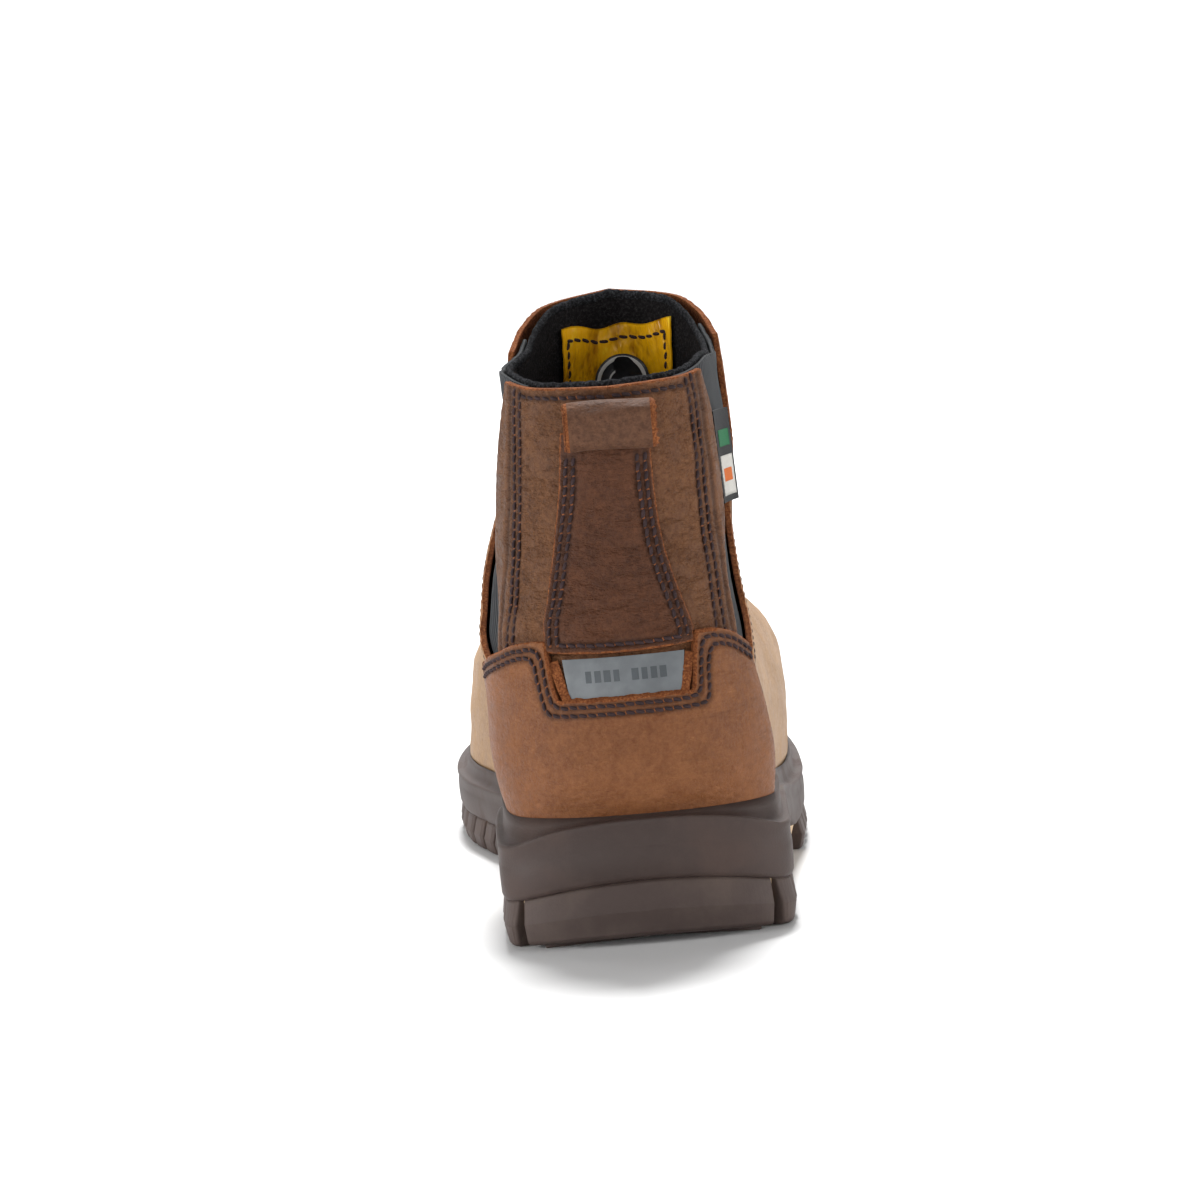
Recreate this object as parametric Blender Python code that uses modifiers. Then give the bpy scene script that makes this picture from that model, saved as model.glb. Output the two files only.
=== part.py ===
"""Steel toe work boot: a right-foot, pull-on work boot as an assembly of its real pieces.

Metres, +Z up, toe towards +Y, outer (lateral) side towards +X. The origin is under the middle of the sole, on
the floor. Every upper piece is a region of one boot-shaped surface, moved in or out by its layer's depth.
"""

import math

import bmesh
import bpy
import numpy as np
from mathutils import Matrix, Vector

MM = 0.001

# Driving dimensions ------------------------------------------------------------------------------------------
LENGTH = 298 * MM          # outsole, heel to toe
REAR_Y = -LENGTH / 2       # back of the outsole
AXIS_X = 3.5 * MM          # middle of the heel, from the middle of the sole's width
GAP = 0.4 * MM             # clearance between neighbouring pieces

# Side view of the upper, in millimetres: (level, y, z). Level 0 is the sole, level 1 the collar.
BACK_LINE = ((0.00, -141.5, 33), (0.13, -144.5, 47), (0.24, -144.5, 59), (0.40, -141, 78), (0.55, -137, 95),
             (0.70, -135, 114), (0.87, -135, 134), (1.00, -137, 149))
FRONT_LINE = ((0.00, 141, 34), (0.05, 143.5, 46), (0.10, 140, 56), (0.16, 130, 66), (0.23, 113, 74),
              (0.31, 93, 80), (0.39, 72, 85), (0.47, 50, 91), (0.54, 30, 99), (0.61, 10, 111),
              (0.68, -5, 123), (0.78, -15, 138), (0.89, -21, 155), (1.00, -24, 173))
SOLE_LINE = ((-150, 33.5), (-90, 31.5), (-40, 27), (20, 24.5), (70, 24.5), (110, 28), (150, 35.5))

# Half widths of the upper at the sole line, in millimetres: (y, inner side, outer side) from the heel axis.
FOOT_WIDTHS = ((-150, 31, 31), (-129, 33, 33), (-109, 34.5, 34), (-79, 34, 35.5), (-49, 31.5, 39),
               (-19, 33.5, 43.5), (11, 42, 46), (41, 50, 47), (61, 52.5, 46.5), (86, 53, 44.5), (111, 54, 41),
               (131, 56, 37), (150, 57, 35))
# Half width of the ankle and shaft, and how far its middle leans from the heel axis: (level, half, lean).
SHAFT_WIDTHS = ((0.00, 36, 0), (0.20, 36.5, -1.1), (0.35, 35.6, -2), (0.50, 33.6, -1.8), (0.60, 32.8, -1.7),
                (0.75, 31.8, -1.2), (1.00, 30, 0))
FRONT_ROUNDING = ((0.00, 72), (0.15, 100), (0.30, 135), (0.40, 140), (0.55, 95), (0.70, 60), (1.00, 42))
BACK_ROUNDING = ((0.00, 24), (0.20, 34), (0.40, 38), (0.70, 34), (1.00, 34))
# Height of the collar's edge round the opening: (angle parameter, z). 0 is the back, 1 the front.
COLLAR_LINE = ((0.00, 145.5), (0.15, 146.5), (0.38, 151), (0.50, 151), (0.62, 155), (0.70, 161), (0.80, 166.5),
               (1.00, 170))

# Half widths of the outsole: (y, inner side, outer side) from the heel axis, in millimetres.
SOLE_WIDTHS = ((-149, 39, 38), (-129, 40, 38.5), (-109, 40.5, 39), (-79, 38.5, 40), (-49, 35.5, 43.5),
               (-19, 38, 48), (11, 47, 50.3), (41, 55, 50.8), (61, 57.2, 50.3), (86, 58, 48.5), (111, 59, 45),
               (131, 61, 41), (149, 62, 39))

# Layer depths, outward from the quarter's outer face, in millimetres.
OVERLAY = (2.2, 1.6)       # outer face, thickness: counter, back stay
LEATHER = (0.0, 1.8)       # vamp and quarters
INNER = (-2.8, 1.2)        # gores, heel stiffener
CAP = (-3.0, 1.3)          # steel toe cap
LINING = (-4.7, 1.1)

# Panel edges on the inner (-1) and outer (1) side: side-view (z, y) in millimetres, low to high.
QUARTER_EDGES = {
    -1: ((30, -119.5), (60, -119.5), (78, -116.6), (90, -112.7), (105, -109.5), (122, -110.8), (136, -114.2),
         (149, -119.6), (155, -121.6)),
    1: ((30, -130), (62, -130), (74, -125), (88, -121.3), (100, -119.3), (111, -116.1), (136, -118.2),
        (149, -123.9), (155, -125.8))}
VAMP_EDGES = {
    -1: ((30, -115), (57, -115), (67, -109), (76, -100), (92, -89), (110, -78), (130, -67), (155, -58)),
    1: ((30, -127), (57, -127), (67, -117), (76, -106), (92, -93), (110, -80), (130, -68), (155, -58))}
COUNTER_EDGES = {-1: ((30, -108), (78, -108)), 1: ((30, -124), (45, -123), (78, -123.5))}
COUNTER_INNER = (0, 0.037, 0.074, 0.094)      # columns of the cut-out, as angle parameters
COUNTER_TOP = ((0.00, 65), (0.074, 65), (0.094, 79.5), (0.117, 78.6), (0.152, 75.5), (0.17, 73.5), (0.23, 72),
               (1.0, 70))
LABEL_DEPTH = -6.2         # outer face of the inner label, against the front lining
LABEL_THICKNESS = 0.5
GORE_BOTTOM_Z = 65
GORE_TUCK = 8              # how far a gore runs under the leather each side
STAY_EDGE = ((76, 20.5), (84, 18), (95, 15.2), (110, 13), (136, 11.8))   # (z, half width)
PATCH_Z = (66, 75)
PATCH_EDGE = ((66, 14.3), (75, 15.8))                                     # (z, half width)
STIFFENER_TOP_Z = 61
STIFFENER_FRONT_Y = -82
CAP_BACK_Y = 92            # rear edge of the steel toe cap
LINING_SEAM_Y = -66

# Sole heights, in millimetres.
HEEL_TREAD_TOP = 11
FORE_TREAD_TOP = 6
CORE_THICKNESS = 3
HEEL_BREAST_Y = -72
FORE_TREAD_BACK_Y = -26
TOE_SPRING = 10
TOE_SPRING_FROM_Y = 50

LOOP_WIDTH = 23.5            # pull loop, along X
LOOP_HEIGHT = 13
LOOP_DEPTH = 9.2
LOOP_WALL = 1.7
LOOP_BOTTOM_Z = 129.5

TAG_Z = (111, 136)
TAG_REACH = 17
TAG_FLARE = 4.6
TAG_THICKNESS = 1.0

LOW_ROWS = 1.4             # packs the front piece's mesh rows towards the sole

SHARP_ANGLE = math.radians(35)
FOOTBED_THICKNESS = 5
FOOTBED_INSET = 8.8        # narrow enough for its lift to clear the lining
BOARD_THICKNESS = 2
BOARD_INSET = 6.4

SHANK_Y = (-95, 15)
SHANK_WIDTH = 16
SHANK_THICKNESS = 1.2

BINDING_RADIUS = 0.75
BADGE_THICKNESS = 0.5


# Surface maths ----------------------------------------------------------------------------------------------
def curve(table, at, column=1):
    """Smooth value of a table's column at a position, by a monotone cubic."""
    table = np.asarray(table, dtype=float)
    xs = table[:, 0]
    ys = table[:, column]
    at = np.clip(np.asarray(at, dtype=float), xs[0], xs[-1])
    step = np.diff(xs)
    slope = np.diff(ys) / step
    tangent = np.empty_like(ys)
    tangent[0] = slope[0]
    tangent[-1] = slope[-1]
    for i in range(1, len(xs) - 1):
        if slope[i - 1] * slope[i] <= 0:
            tangent[i] = 0
        else:
            w1 = 2 * step[i] + step[i - 1]
            w2 = step[i] + 2 * step[i - 1]
            tangent[i] = (w1 + w2) / (w1 / slope[i - 1] + w2 / slope[i])
    i = np.clip(np.searchsorted(xs, at) - 1, 0, len(xs) - 2)
    h = step[i]
    s = (at - xs[i]) / h
    return ((2 * s**3 - 3 * s**2 + 1) * ys[i] + (s**3 - 2 * s**2 + s) * h * tangent[i]
            + (3 * s**2 - 2 * s**3) * ys[i + 1] + (s**3 - s**2) * h * tangent[i + 1])


def smoothstep(low, high, x):
    s = np.clip((x - low) / (high - low), 0, 1)
    return s * s * (3 - 2 * s)


def rounding(distance, length, power=2.0):
    """Width factor near an end: 0 at the end, 1 once past the rounding's length."""
    d = np.clip(distance / length, 0, 1)
    return (1 - (1 - d) ** power) ** (1 / power)


def upper_point(a, v):
    """Point of the upper's surface, in millimetres. a is -1..1 round the boot (0 back, +-1 front, + outer side)."""
    a = np.asarray(a, dtype=float)
    v = np.asarray(v, dtype=float)
    back_y, back_z = curve(BACK_LINE, v, 1), curve(BACK_LINE, v, 2)
    front_y, front_z = curve(FRONT_LINE, v, 1), curve(FRONT_LINE, v, 2)
    t = (1 - np.cos(np.pi * np.abs(a))) / 2
    y = back_y + (front_y - back_y) * t
    z = back_z + (front_z - back_z) * t
    straight = BACK_LINE[0][2] + (FRONT_LINE[0][2] - BACK_LINE[0][2]) * (y - BACK_LINE[0][1]) / (
        FRONT_LINE[0][1] - BACK_LINE[0][1])
    z = z + (curve(SOLE_LINE, y) - straight) * np.clip(1 - v / 0.3, 0, 1) ** 2
    foot = np.where(a > 0, curve(FOOT_WIDTHS, y, 2), curve(FOOT_WIDTHS, y, 1))
    swell = np.where(a > 0, 2.2, 2.2 - 5 * smoothstep(-40, 30, y))
    foot = foot + swell * np.sin(np.pi * np.clip(v / 0.3, 0, 1))
    shaft = curve(SHAFT_WIDTHS, v, 1)
    width = foot + (shaft - foot) * smoothstep(0.06, 0.46, v)
    width = width * rounding(front_y - y, curve(FRONT_ROUNDING, v))
    width = width * rounding(y - back_y, curve(BACK_ROUNDING, v), 2.25)
    return np.stack([middle_x(v) + np.sign(a) * width, y, z], axis=-1)


def middle_x(v):
    """Middle of the upper's width at a level, in millimetres."""
    return AXIS_X / MM + curve(SHAFT_WIDTHS, v, 2)


def upper_normal(a, v):
    """Outward unit normal of the upper's surface."""
    e = 0.004
    along = upper_point(a + e, v) - upper_point(a - e, v)
    wrap = np.abs(a) > 1 - e
    if np.any(wrap):
        flip = np.where(np.abs(a) + e > 1, -np.sign(a) * (2 - np.abs(a) - e), a + np.sign(a) * e)
        forward = upper_point(np.where(wrap, flip, a), v) - upper_point(a - np.sign(a) * e, v)
        along = np.where(wrap[..., None], forward * np.sign(a)[..., None], along)
    v_high = np.minimum(v + e, 1.0)
    v_low = np.maximum(v - e, 0.0)
    up = upper_point(a, v_high) - upper_point(a, v_low)
    n = np.cross(along, up)
    return n / np.linalg.norm(n, axis=-1, keepdims=True)


def a_at_y(y, v, side):
    """Angle parameter where level v passes the given y on one side."""
    back = curve(BACK_LINE, v, 1)
    front = curve(FRONT_LINE, v, 1)
    t = np.clip((y - back) / (front - back), 0, 1)
    return side * np.arccos(1 - 2 * t) / np.pi


def v_at_z(z, a):
    """Level at which the surface at angle a has height z."""
    a = np.asarray(a, dtype=float)
    low = np.zeros_like(a)
    high = np.ones_like(a)
    for _ in range(26):
        middle = (low + high) / 2
        below = upper_point(a, middle)[..., 2] < z
        low = np.where(below, middle, low)
        high = np.where(below, high, middle)
    return (low + high) / 2


def a_on_edge(edge, v, side):
    """Angle parameter of a side-view edge (z, y) at level v."""
    v = np.asarray(v, dtype=float)
    a = np.full_like(v, 0.4 * side)
    for _ in range(12):
        z = upper_point(a, v)[..., 2]
        a = a_at_y(curve(edge, z), v, side)
    return a


def v_collar(a):
    return v_at_z(curve(COLLAR_LINE, np.abs(a)), a)


# Mesh helpers ------------------------------------------------------------------------------------------------
def collection(name):
    made = bpy.data.collections.new(name)
    bpy.context.scene.collection.children.link(made)
    return made


def material(name, colour, roughness=0.7, metallic=0.0):
    made = bpy.data.materials.new(name)
    made.use_nodes = True
    shader = made.node_tree.nodes["Principled BSDF"]
    shader.inputs["Base Color"].default_value = (*colour, 1)
    shader.inputs["Roughness"].default_value = roughness
    shader.inputs["Metallic"].default_value = metallic
    return made


def add_object(name, verts, faces, parts, look, closed=True):
    mesh = bpy.data.meshes.new(name)
    mesh.from_pydata([tuple(float(c) for c in v) for v in verts], [], faces)
    bm = bmesh.new()
    bm.from_mesh(mesh)
    bmesh.ops.remove_doubles(bm, verts=bm.verts, dist=0.00002)
    bmesh.ops.dissolve_degenerate(bm, edges=bm.edges, dist=0.00001)
    if closed:
        bmesh.ops.recalc_face_normals(bm, faces=bm.faces)
    bm.to_mesh(mesh)
    bm.free()
    mesh.shade_smooth()
    mesh.set_sharp_from_angle(angle=SHARP_ANGLE)
    made = bpy.data.objects.new(name, mesh)
    made.data.materials.append(material(name + "_material", *look))
    parts.objects.link(made)
    return made


def thicken(made, thickness, offset=-1.0):
    """Gives an open surface its thickness (millimetres), inward by default."""
    solidify = made.modifiers.new("Thickness", "SOLIDIFY")
    solidify.thickness = thickness * MM
    solidify.offset = offset
    return made


def move_origin(made, point):
    """Puts an object's origin at a point (metres) and leaves its shape where it is."""
    made.data.transform(Matrix.Translation(-Vector(point)))
    made.location = point
    return made


def grid_faces(rows, columns, closed=False):
    faces = []
    for i in range(rows - 1):
        for j in range(columns if closed else columns - 1):
            k = (j + 1) % columns
            faces.append((i * columns + j, i * columns + k, (i + 1) * columns + k, (i + 1) * columns + j))
    return faces


def shell(name, a, v, layer, parts, look):
    """A panel: the surface over a grid of (a, v) at the layer's outer face, thickened inward."""
    outer, thickness = layer
    a = np.asarray(a, dtype=float)
    v = np.asarray(v, dtype=float)
    normals = upper_normal(a, v)
    points = upper_point(a, v) + normals * outer
    i, j = a.shape[0] // 2, a.shape[1] // 4
    facing = np.cross(points[i, j + 1] - points[i, j], points[i + 1, j] - points[i, j])
    faces = grid_faces(*a.shape)
    if np.dot(facing, normals[i, j]) < 0:
        faces = [face[::-1] for face in faces]
    return thicken(add_object(name, points.reshape(-1, 3) * MM, faces, parts, look, False), thickness)


def spread(start, stop, count):
    return np.linspace(start, stop, count)


def outline(widths, rear_y, front_y, rear_round, front_round, inset, count):
    """Half outline stations: y, inner x and outer x, in millimetres from the heel axis."""
    u = spread(0, 1, count)
    y = rear_y + inset + (front_y - rear_y - 2 * inset) * (1 - np.cos(np.pi * u)) / 2
    factor = rounding(front_y - inset - y, front_round) * rounding(y - rear_y - inset, rear_round, 2.5)
    return y, (curve(widths, y, 1) - inset) * factor, (curve(widths, y, 2) - inset) * factor


def slab(name, levels, parts, look):
    """A closed solid from outlines stacked bottom to top; each level is (y, inner, outer, z)."""
    verts = []
    for y, inner, outer, z in levels:
        ring_x = np.concatenate([outer, -inner[-2:0:-1]]) + AXIS_X / MM
        ring_y = np.concatenate([y, y[-2:0:-1]])
        ring_z = np.concatenate([z, z[-2:0:-1]])
        verts.append(np.stack([ring_x, ring_y, ring_z], axis=-1) * MM)
    size = len(verts[0])
    count = len(levels[0][0])
    faces = grid_faces(len(levels), size, closed=True)
    for base, turn in ((0, 1), ((len(levels) - 1) * size, -1)):
        for i in range(count - 1):
            ring = [base + i, base + i + 1, base + (size - i - 1) % size, base + (size - i) % size]
            ring = [r for n, r in enumerate(ring) if r not in ring[:n]]
            if len(ring) > 2:
                faces.append(tuple(ring[::turn]))
    return add_object(name, np.concatenate(verts), faces, parts, look)


def spring_z(y):
    """Lift of the tread's underside towards the toe, in millimetres."""
    s = np.clip((y - TOE_SPRING_FROM_Y) / (LENGTH / MM / 2 - TOE_SPRING_FROM_Y), 0, 1)
    return TOE_SPRING * s * s


# Upper pieces ------------------------------------------------------------------------------------------------
def vamp(parts, name="vamp", layer=LEATHER, edges=VAMP_EDGES, look=((0.42, 0.24, 0.13), 0.6), top_drop=0.0,
         rows=23, columns=37):
    """The front piece, from its rear edges round the toe or shin, sole line to collar."""
    b = spread(-1, 1, columns)
    s = spread(0, 1, rows)
    grid_b, grid_s = np.meshgrid(b, s)
    v = grid_s.copy()
    a = np.where(grid_b < 0, -0.8, 0.8)
    for _ in range(10):
        edge_a = np.where(grid_b < 0, -a_on_edge(edges[-1], v, -1), a_on_edge(edges[1], v, 1))
        a = np.where(grid_b < 0, -1, 1) * (1 - (1 - edge_a) * np.abs(grid_b))
        v = grid_s ** LOW_ROWS * (v_collar(a) - top_drop)
    a = np.where(grid_b == 0, 1.0, a)
    a = np.where(grid_b < 0, -np.abs(a), np.abs(a))
    return shell(name, a, v, layer, parts, look)


def rear_panel(name, side, from_a, edge, layer, parts, look, top_drop=0.0, rows=16, columns=12):
    """A rear piece on one side, from an angle near the back to a side-view edge."""
    f = spread(0, 1, columns)
    s = spread(0, 1, rows)
    grid_f, grid_s = np.meshgrid(f, s)
    v = grid_s.copy()
    for _ in range(8):
        edge_a = a_on_edge(edge, v, side)
        a = side * from_a + (edge_a - side * from_a) * grid_f
        v = grid_s * (v_collar(a) - top_drop)
    return shell(name, a, v, layer, parts, look)


def lining_rear(parts):
    f = spread(-1, 1, 25)
    s = spread(0, 1, 16)
    grid_f, grid_s = np.meshgrid(f, s)
    v = grid_s.copy()
    for _ in range(8):
        edge_a = np.abs(a_on_edge(((30, LINING_SEAM_Y - 0.5), (180, LINING_SEAM_Y - 0.5)), v, 1))
        a = edge_a * grid_f
        v = grid_s * (v_collar(a) - 0.02)
    return shell("lining_rear", a, v, LINING, parts, ((0.03, 0.03, 0.032), 0.95))


def heel_counter(parts):
    """Outer counter: sole line to its top line, with the cut-out at the back."""
    outer = COUNTER_INNER[-1] + spread(0, 1, 6)[1:]
    half = np.concatenate([COUNTER_INNER, outer])
    columns = np.concatenate([-half[:0:-1], half])
    s = spread(0, 1, 9)
    grid_f, grid_s = np.meshgrid(columns, s)
    share = np.clip(np.abs(grid_f) - COUNTER_INNER[-1], 0, 1)
    fixed = np.minimum(np.abs(grid_f), COUNTER_INNER[-1])
    v = grid_s * 0.4
    for _ in range(8):
        edge_a = np.where(grid_f < 0, -a_on_edge(COUNTER_EDGES[-1], v, -1), a_on_edge(COUNTER_EDGES[1], v, 1))
        a = np.sign(grid_f) * (fixed + (edge_a - COUNTER_INNER[-1]) * share)
        v = grid_s * v_at_z(curve(COUNTER_TOP, np.abs(a)), a)
    return shell("heel_counter", a, v, OVERLAY, parts, ((0.36, 0.2, 0.1), 0.6))


def half_width_to_a(half_width, v, side):
    """Angle parameter where the surface is a given distance from the heel axis, near the back."""
    low = np.zeros_like(v)
    high = np.full_like(v, 0.45)
    for _ in range(24):
        middle = (low + high) / 2
        short = np.abs(upper_point(side * middle, v)[..., 0] - middle_x(v)) < half_width
        low = np.where(short, middle, low)
        high = np.where(short, high, middle)
    return side * (low + high) / 2


def back_stay(parts):
    f = spread(-1, 1, 13)
    z = spread(81.0, LOOP_BOTTOM_Z + 6, 12)
    grid_f, grid_z = np.meshgrid(f, z)
    half = curve(STAY_EDGE, grid_z) * np.abs(grid_f)
    v = grid_z * 0 + 0.5
    for _ in range(8):
        a = half_width_to_a(half, v, 1) * np.sign(grid_f)
        v = v_at_z(grid_z, a)
    return shell("back_stay", a, v, OVERLAY, parts, ((0.3, 0.17, 0.1), 0.6))


def reflective_patch(parts):
    f = spread(-1, 1, 9)
    z = spread(PATCH_Z[0], PATCH_Z[1], 4)
    grid_f, grid_z = np.meshgrid(f, z)
    half = curve(PATCH_EDGE, grid_z) * np.abs(grid_f)
    v = grid_z * 0 + 0.35
    for _ in range(8):
        a = half_width_to_a(half, v, 1) * np.sign(grid_f)
        v = v_at_z(grid_z, a)
    return shell("reflective_patch", a, v, (1.2, 0.8), parts, ((0.35, 0.4, 0.43), 0.4))


def gore(side, parts):
    f = spread(0, 1, 7)
    s = spread(0, 1, 10)
    grid_f, grid_s = np.meshgrid(f, s)
    rear = [(z, y - GORE_TUCK) for z, y in QUARTER_EDGES[side]]
    front = [(z, y + GORE_TUCK) for z, y in VAMP_EDGES[side]]
    v = 0.35 + 0.5 * grid_s
    for _ in range(10):
        a_rear = a_on_edge(rear, v, side)
        a_front = a_on_edge(front, v, side)
        a = a_rear + (a_front - a_rear) * grid_f
        bottom = v_at_z(GORE_BOTTOM_Z, a)
        v = bottom + (v_collar(a) - 0.004 - bottom) * grid_s
    name = "gore_lateral" if side > 0 else "gore_medial"
    return shell(name, a, v, INNER, parts, ((0.06, 0.07, 0.075), 0.85))


def heel_stiffener(parts):
    f = spread(-1, 1, 21)
    s = spread(0, 1, 6)
    grid_f, grid_s = np.meshgrid(f, s)
    v = 0.01 + grid_s * 0.3
    for _ in range(8):
        edge_a = a_at_y(STIFFENER_FRONT_Y + 0 * v, v, 1)
        a = edge_a * grid_f
        v = 0.01 + grid_s * (v_at_z(STIFFENER_TOP_Z, a) - 0.01)
    return shell("heel_stiffener", a, v, INNER, parts, ((0.7, 0.66, 0.55), 0.8))


def level_at_front(y):
    low, high = 0.06, 1.0
    for _ in range(30):
        middle = (low + high) / 2
        if curve(FRONT_LINE, middle) > y:
            low = middle
        else:
            high = middle
    return (low + high) / 2


def dome_grid(y_back, v_low, v_high, rows, columns):
    """Grid over the toe ahead of y_back, between two levels."""
    b = spread(-1, 1, columns)
    s = 1 - (1 - spread(0, 1, rows)) ** 1.7
    grid_b, grid_s = np.meshgrid(b, s)
    v = v_low + (v_high - v_low) * grid_s
    edge_a = np.abs(a_at_y(y_back + 0 * v, v, 1))
    a = np.where(grid_b < 0, -1, 1) * (1 - (1 - edge_a) * np.abs(grid_b))
    a = np.where(grid_b == 0, 1.0, a)
    return a, v


def steel_toe_cap(parts):
    a, v = dome_grid(CAP_BACK_Y, 0.012, level_at_front(CAP_BACK_Y + 0.4), 12, 25)
    return shell("steel_toe_cap", a, v, CAP, parts, ((0.6, 0.61, 0.63), 0.3, 1.0))


def ring_strip(name, y_front, y_back, layer, parts, look, columns=27):
    """A strip over the foot between two y stations, sole line to sole line."""
    b = spread(-1, 1, columns)
    rows = []
    for y in spread(y_back, y_front, 3):
        top = level_at_front(y + 0.05)
        v = 0.012 + (top - 0.012) * (1 - np.abs(b) ** 2.0)
        a = np.where(b < 0, -1.0, 1.0) * np.abs(a_at_y(y + 0 * v, v, 1))
        rows.append((a, v))
    return shell(name, np.array([r[0] for r in rows]), np.array([r[1] for r in rows]), layer, parts, look)


def collar_binding(parts):
    """Rolled binding on the lining's top edge."""
    count = 56
    a = spread(-1, 1, count + 1)[:-1]
    a = np.where(a == -1, 1.0, a)
    v = v_collar(a) - 0.004
    route = upper_point(a, v) + upper_normal(a, v) * (LINING[0] - 0.85)
    data = bpy.data.curves.new("collar_binding", "CURVE")
    data.dimensions = "3D"
    data.bevel_depth = BINDING_RADIUS * MM
    data.bevel_resolution = 2
    spline = data.splines.new("POLY")
    spline.points.add(count - 1)
    for point, place in zip(spline.points, route * MM):
        point.co = (*place, 1)
    spline.use_cyclic_u = True
    made = bpy.data.objects.new("collar_binding", data)
    data.materials.append(material("collar_binding_material", (0.1, 0.1, 0.11), 0.9))
    parts.objects.link(made)
    return made


def inner_label(parts):
    """Label sewn flat on the front lining."""
    f = spread(-1, 1, 9)
    z = spread(110, 158, 7)
    grid_f, grid_z = np.meshgrid(f, z)
    a = np.sign(grid_f) * (1 - 0.26 * np.abs(grid_f))
    a = np.where(grid_f == 0, 1.0, a)
    v = v_at_z(grid_z, a)
    return shell("inner_label", a, v, (LABEL_DEPTH, LABEL_THICKNESS), parts, ((0.6, 0.38, 0.01), 0.4))


def front_a_for_x(x, z):
    """Angle parameter near the front where the surface at height z is x from the heel axis."""
    side = np.where(x >= 0, 1.0, -1.0)
    low = np.full_like(x, 0.6)
    high = np.ones_like(x)
    for _ in range(20):
        middle = (low + high) / 2
        v = v_at_z(z, side * middle)
        wide = np.abs(upper_point(side * middle, v)[..., 0] - middle_x(v)) > np.abs(x)
        low = np.where(wide, middle, low)
        high = np.where(wide, high, middle)
    return side * (low + high) / 2


def label_badge(parts):
    """Plain round badge on the label."""
    radius, centre_z = 10.5, 124
    angle = spread(0, 2 * np.pi, 25)[:-1]
    scale = np.array([1.0, 0.55, 0.02])[:, None]
    x = 1.4 * scale * radius * np.cos(angle)
    z = centre_z + scale * radius * np.sin(angle)
    a = front_a_for_x(x, z)
    v = v_at_z(z, a)
    front = LABEL_DEPTH - LABEL_THICKNESS - GAP / MM
    points = upper_point(a, v) + upper_normal(a, v) * front
    size = len(angle)
    faces = grid_faces(len(scale), size, closed=True)
    faces.append(tuple((len(scale) - 1) * size + i for i in range(size)))
    made = add_object("label_badge", points.reshape(-1, 3) * MM, faces, parts, ((0.05, 0.05, 0.05), 0.5), False)
    return thicken(made, BADGE_THICKNESS, 1.0)


def pull_loop(parts):
    """Leather loop, a closed D section along X, standing off the top of the stay. Its origin is on its hinge."""
    v = v_at_z(np.array([LOOP_BOTTOM_Z + LOOP_HEIGHT / 2]), np.array([0.0]))
    hinge_y = upper_point(np.array([0.0]), v)[0, 1] - OVERLAY[0] - 0.6
    data = bpy.data.curves.new("pull_loop", "CURVE")
    data.dimensions = "2D"
    data.fill_mode = "BOTH"
    data.extrude = LOOP_WIDTH / 2 * MM
    steps, power = 20, 0.62
    for wall in (0.0, LOOP_WALL):
        half_h, half_d = LOOP_HEIGHT / 2 - wall, LOOP_DEPTH / 2 - wall
        spline = data.splines.new("POLY")
        spline.points.add(steps - 1)
        for k, point in enumerate(spline.points):
            c, s = math.cos(2 * math.pi * k / steps), math.sin(2 * math.pi * k / steps)
            across = -LOOP_DEPTH / 2 + half_d * math.copysign(abs(c) ** power, c)
            up = LOOP_HEIGHT / 2 + half_h * math.copysign(abs(s) ** power, s)
            point.co = (across * MM, up * MM, 0, 1)
        spline.use_cyclic_u = True
    made = bpy.data.objects.new("pull_loop", data)
    made.location = (float(middle_x(v[0])) * MM, hinge_y * MM, LOOP_BOTTOM_Z * MM)
    made.rotation_euler = (math.pi / 2, 0, math.pi / 2)
    data.materials.append(material("pull_loop_material", (0.4, 0.24, 0.17), 0.55))
    parts.objects.link(made)
    return made


def tag_frame():
    """Root line of the side tag on the outer side: lower and upper ends, in millimetres."""
    ends = []
    for z in TAG_Z:
        v = np.array([0.8])
        for _ in range(10):
            a = a_at_y(curve(QUARTER_EDGES[1], np.array([z])) + 0.9, v, 1)
            v = v_at_z(np.array([z]), a)
        ends.append(upper_point(a, v)[0] + upper_normal(a, v)[0] * -0.7)
    return ends


def side_tag(parts):
    """Woven tab, flaring away from the gore. Its origin is in the middle of its sewn edge."""
    low, high = tag_frame()
    verts = []
    for root in (low, high):
        for f in (0.0, 0.5, 1.0):
            bend = TAG_FLARE * (0.6 * f + 0.4 * f * f)
            verts.append((root + np.array([bend, TAG_REACH * f, 0])) * MM)
    faces = [(0, 1, 4, 3), (1, 2, 5, 4)]
    made = add_object("side_tag", verts, faces, parts, ((0.02, 0.02, 0.022), 0.8), False)
    return move_origin(thicken(made, TAG_THICKNESS, 0.0), (low + high) / 2 * MM)


# Sole pieces -------------------------------------------------------------------------------------------------
def sole_ring(inset, z, rear_y=REAR_Y / MM, front_y=-REAR_Y / MM, rear_round=20.0, front_round=78.0, count=45):
    y, inner, outer = outline(SOLE_WIDTHS, rear_y, front_y, rear_round, front_round, inset, count)
    return y, inner, outer, z(y) if callable(z) else np.full_like(y, z)


def heel_tread(parts):
    back, breast = REAR_Y / MM, HEEL_BREAST_Y

    def ring(inset, z):
        y = np.concatenate([back + inset + (breast - back - inset) * (1 - np.cos(np.pi * spread(0, 0.5, 13)))])
        factor = rounding(y - back - inset, 20.0, 2.5)
        return (y, (curve(SOLE_WIDTHS, y, 1) - inset) * factor, (curve(SOLE_WIDTHS, y, 2) - inset) * factor,
                np.full_like(y, z))

    return block("heel_tread", [ring(3.0, 0.0), ring(1.2, 3.0), ring(1.2, HEEL_TREAD_TOP)], parts,
                 ((0.09, 0.075, 0.065), 0.7))


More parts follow.
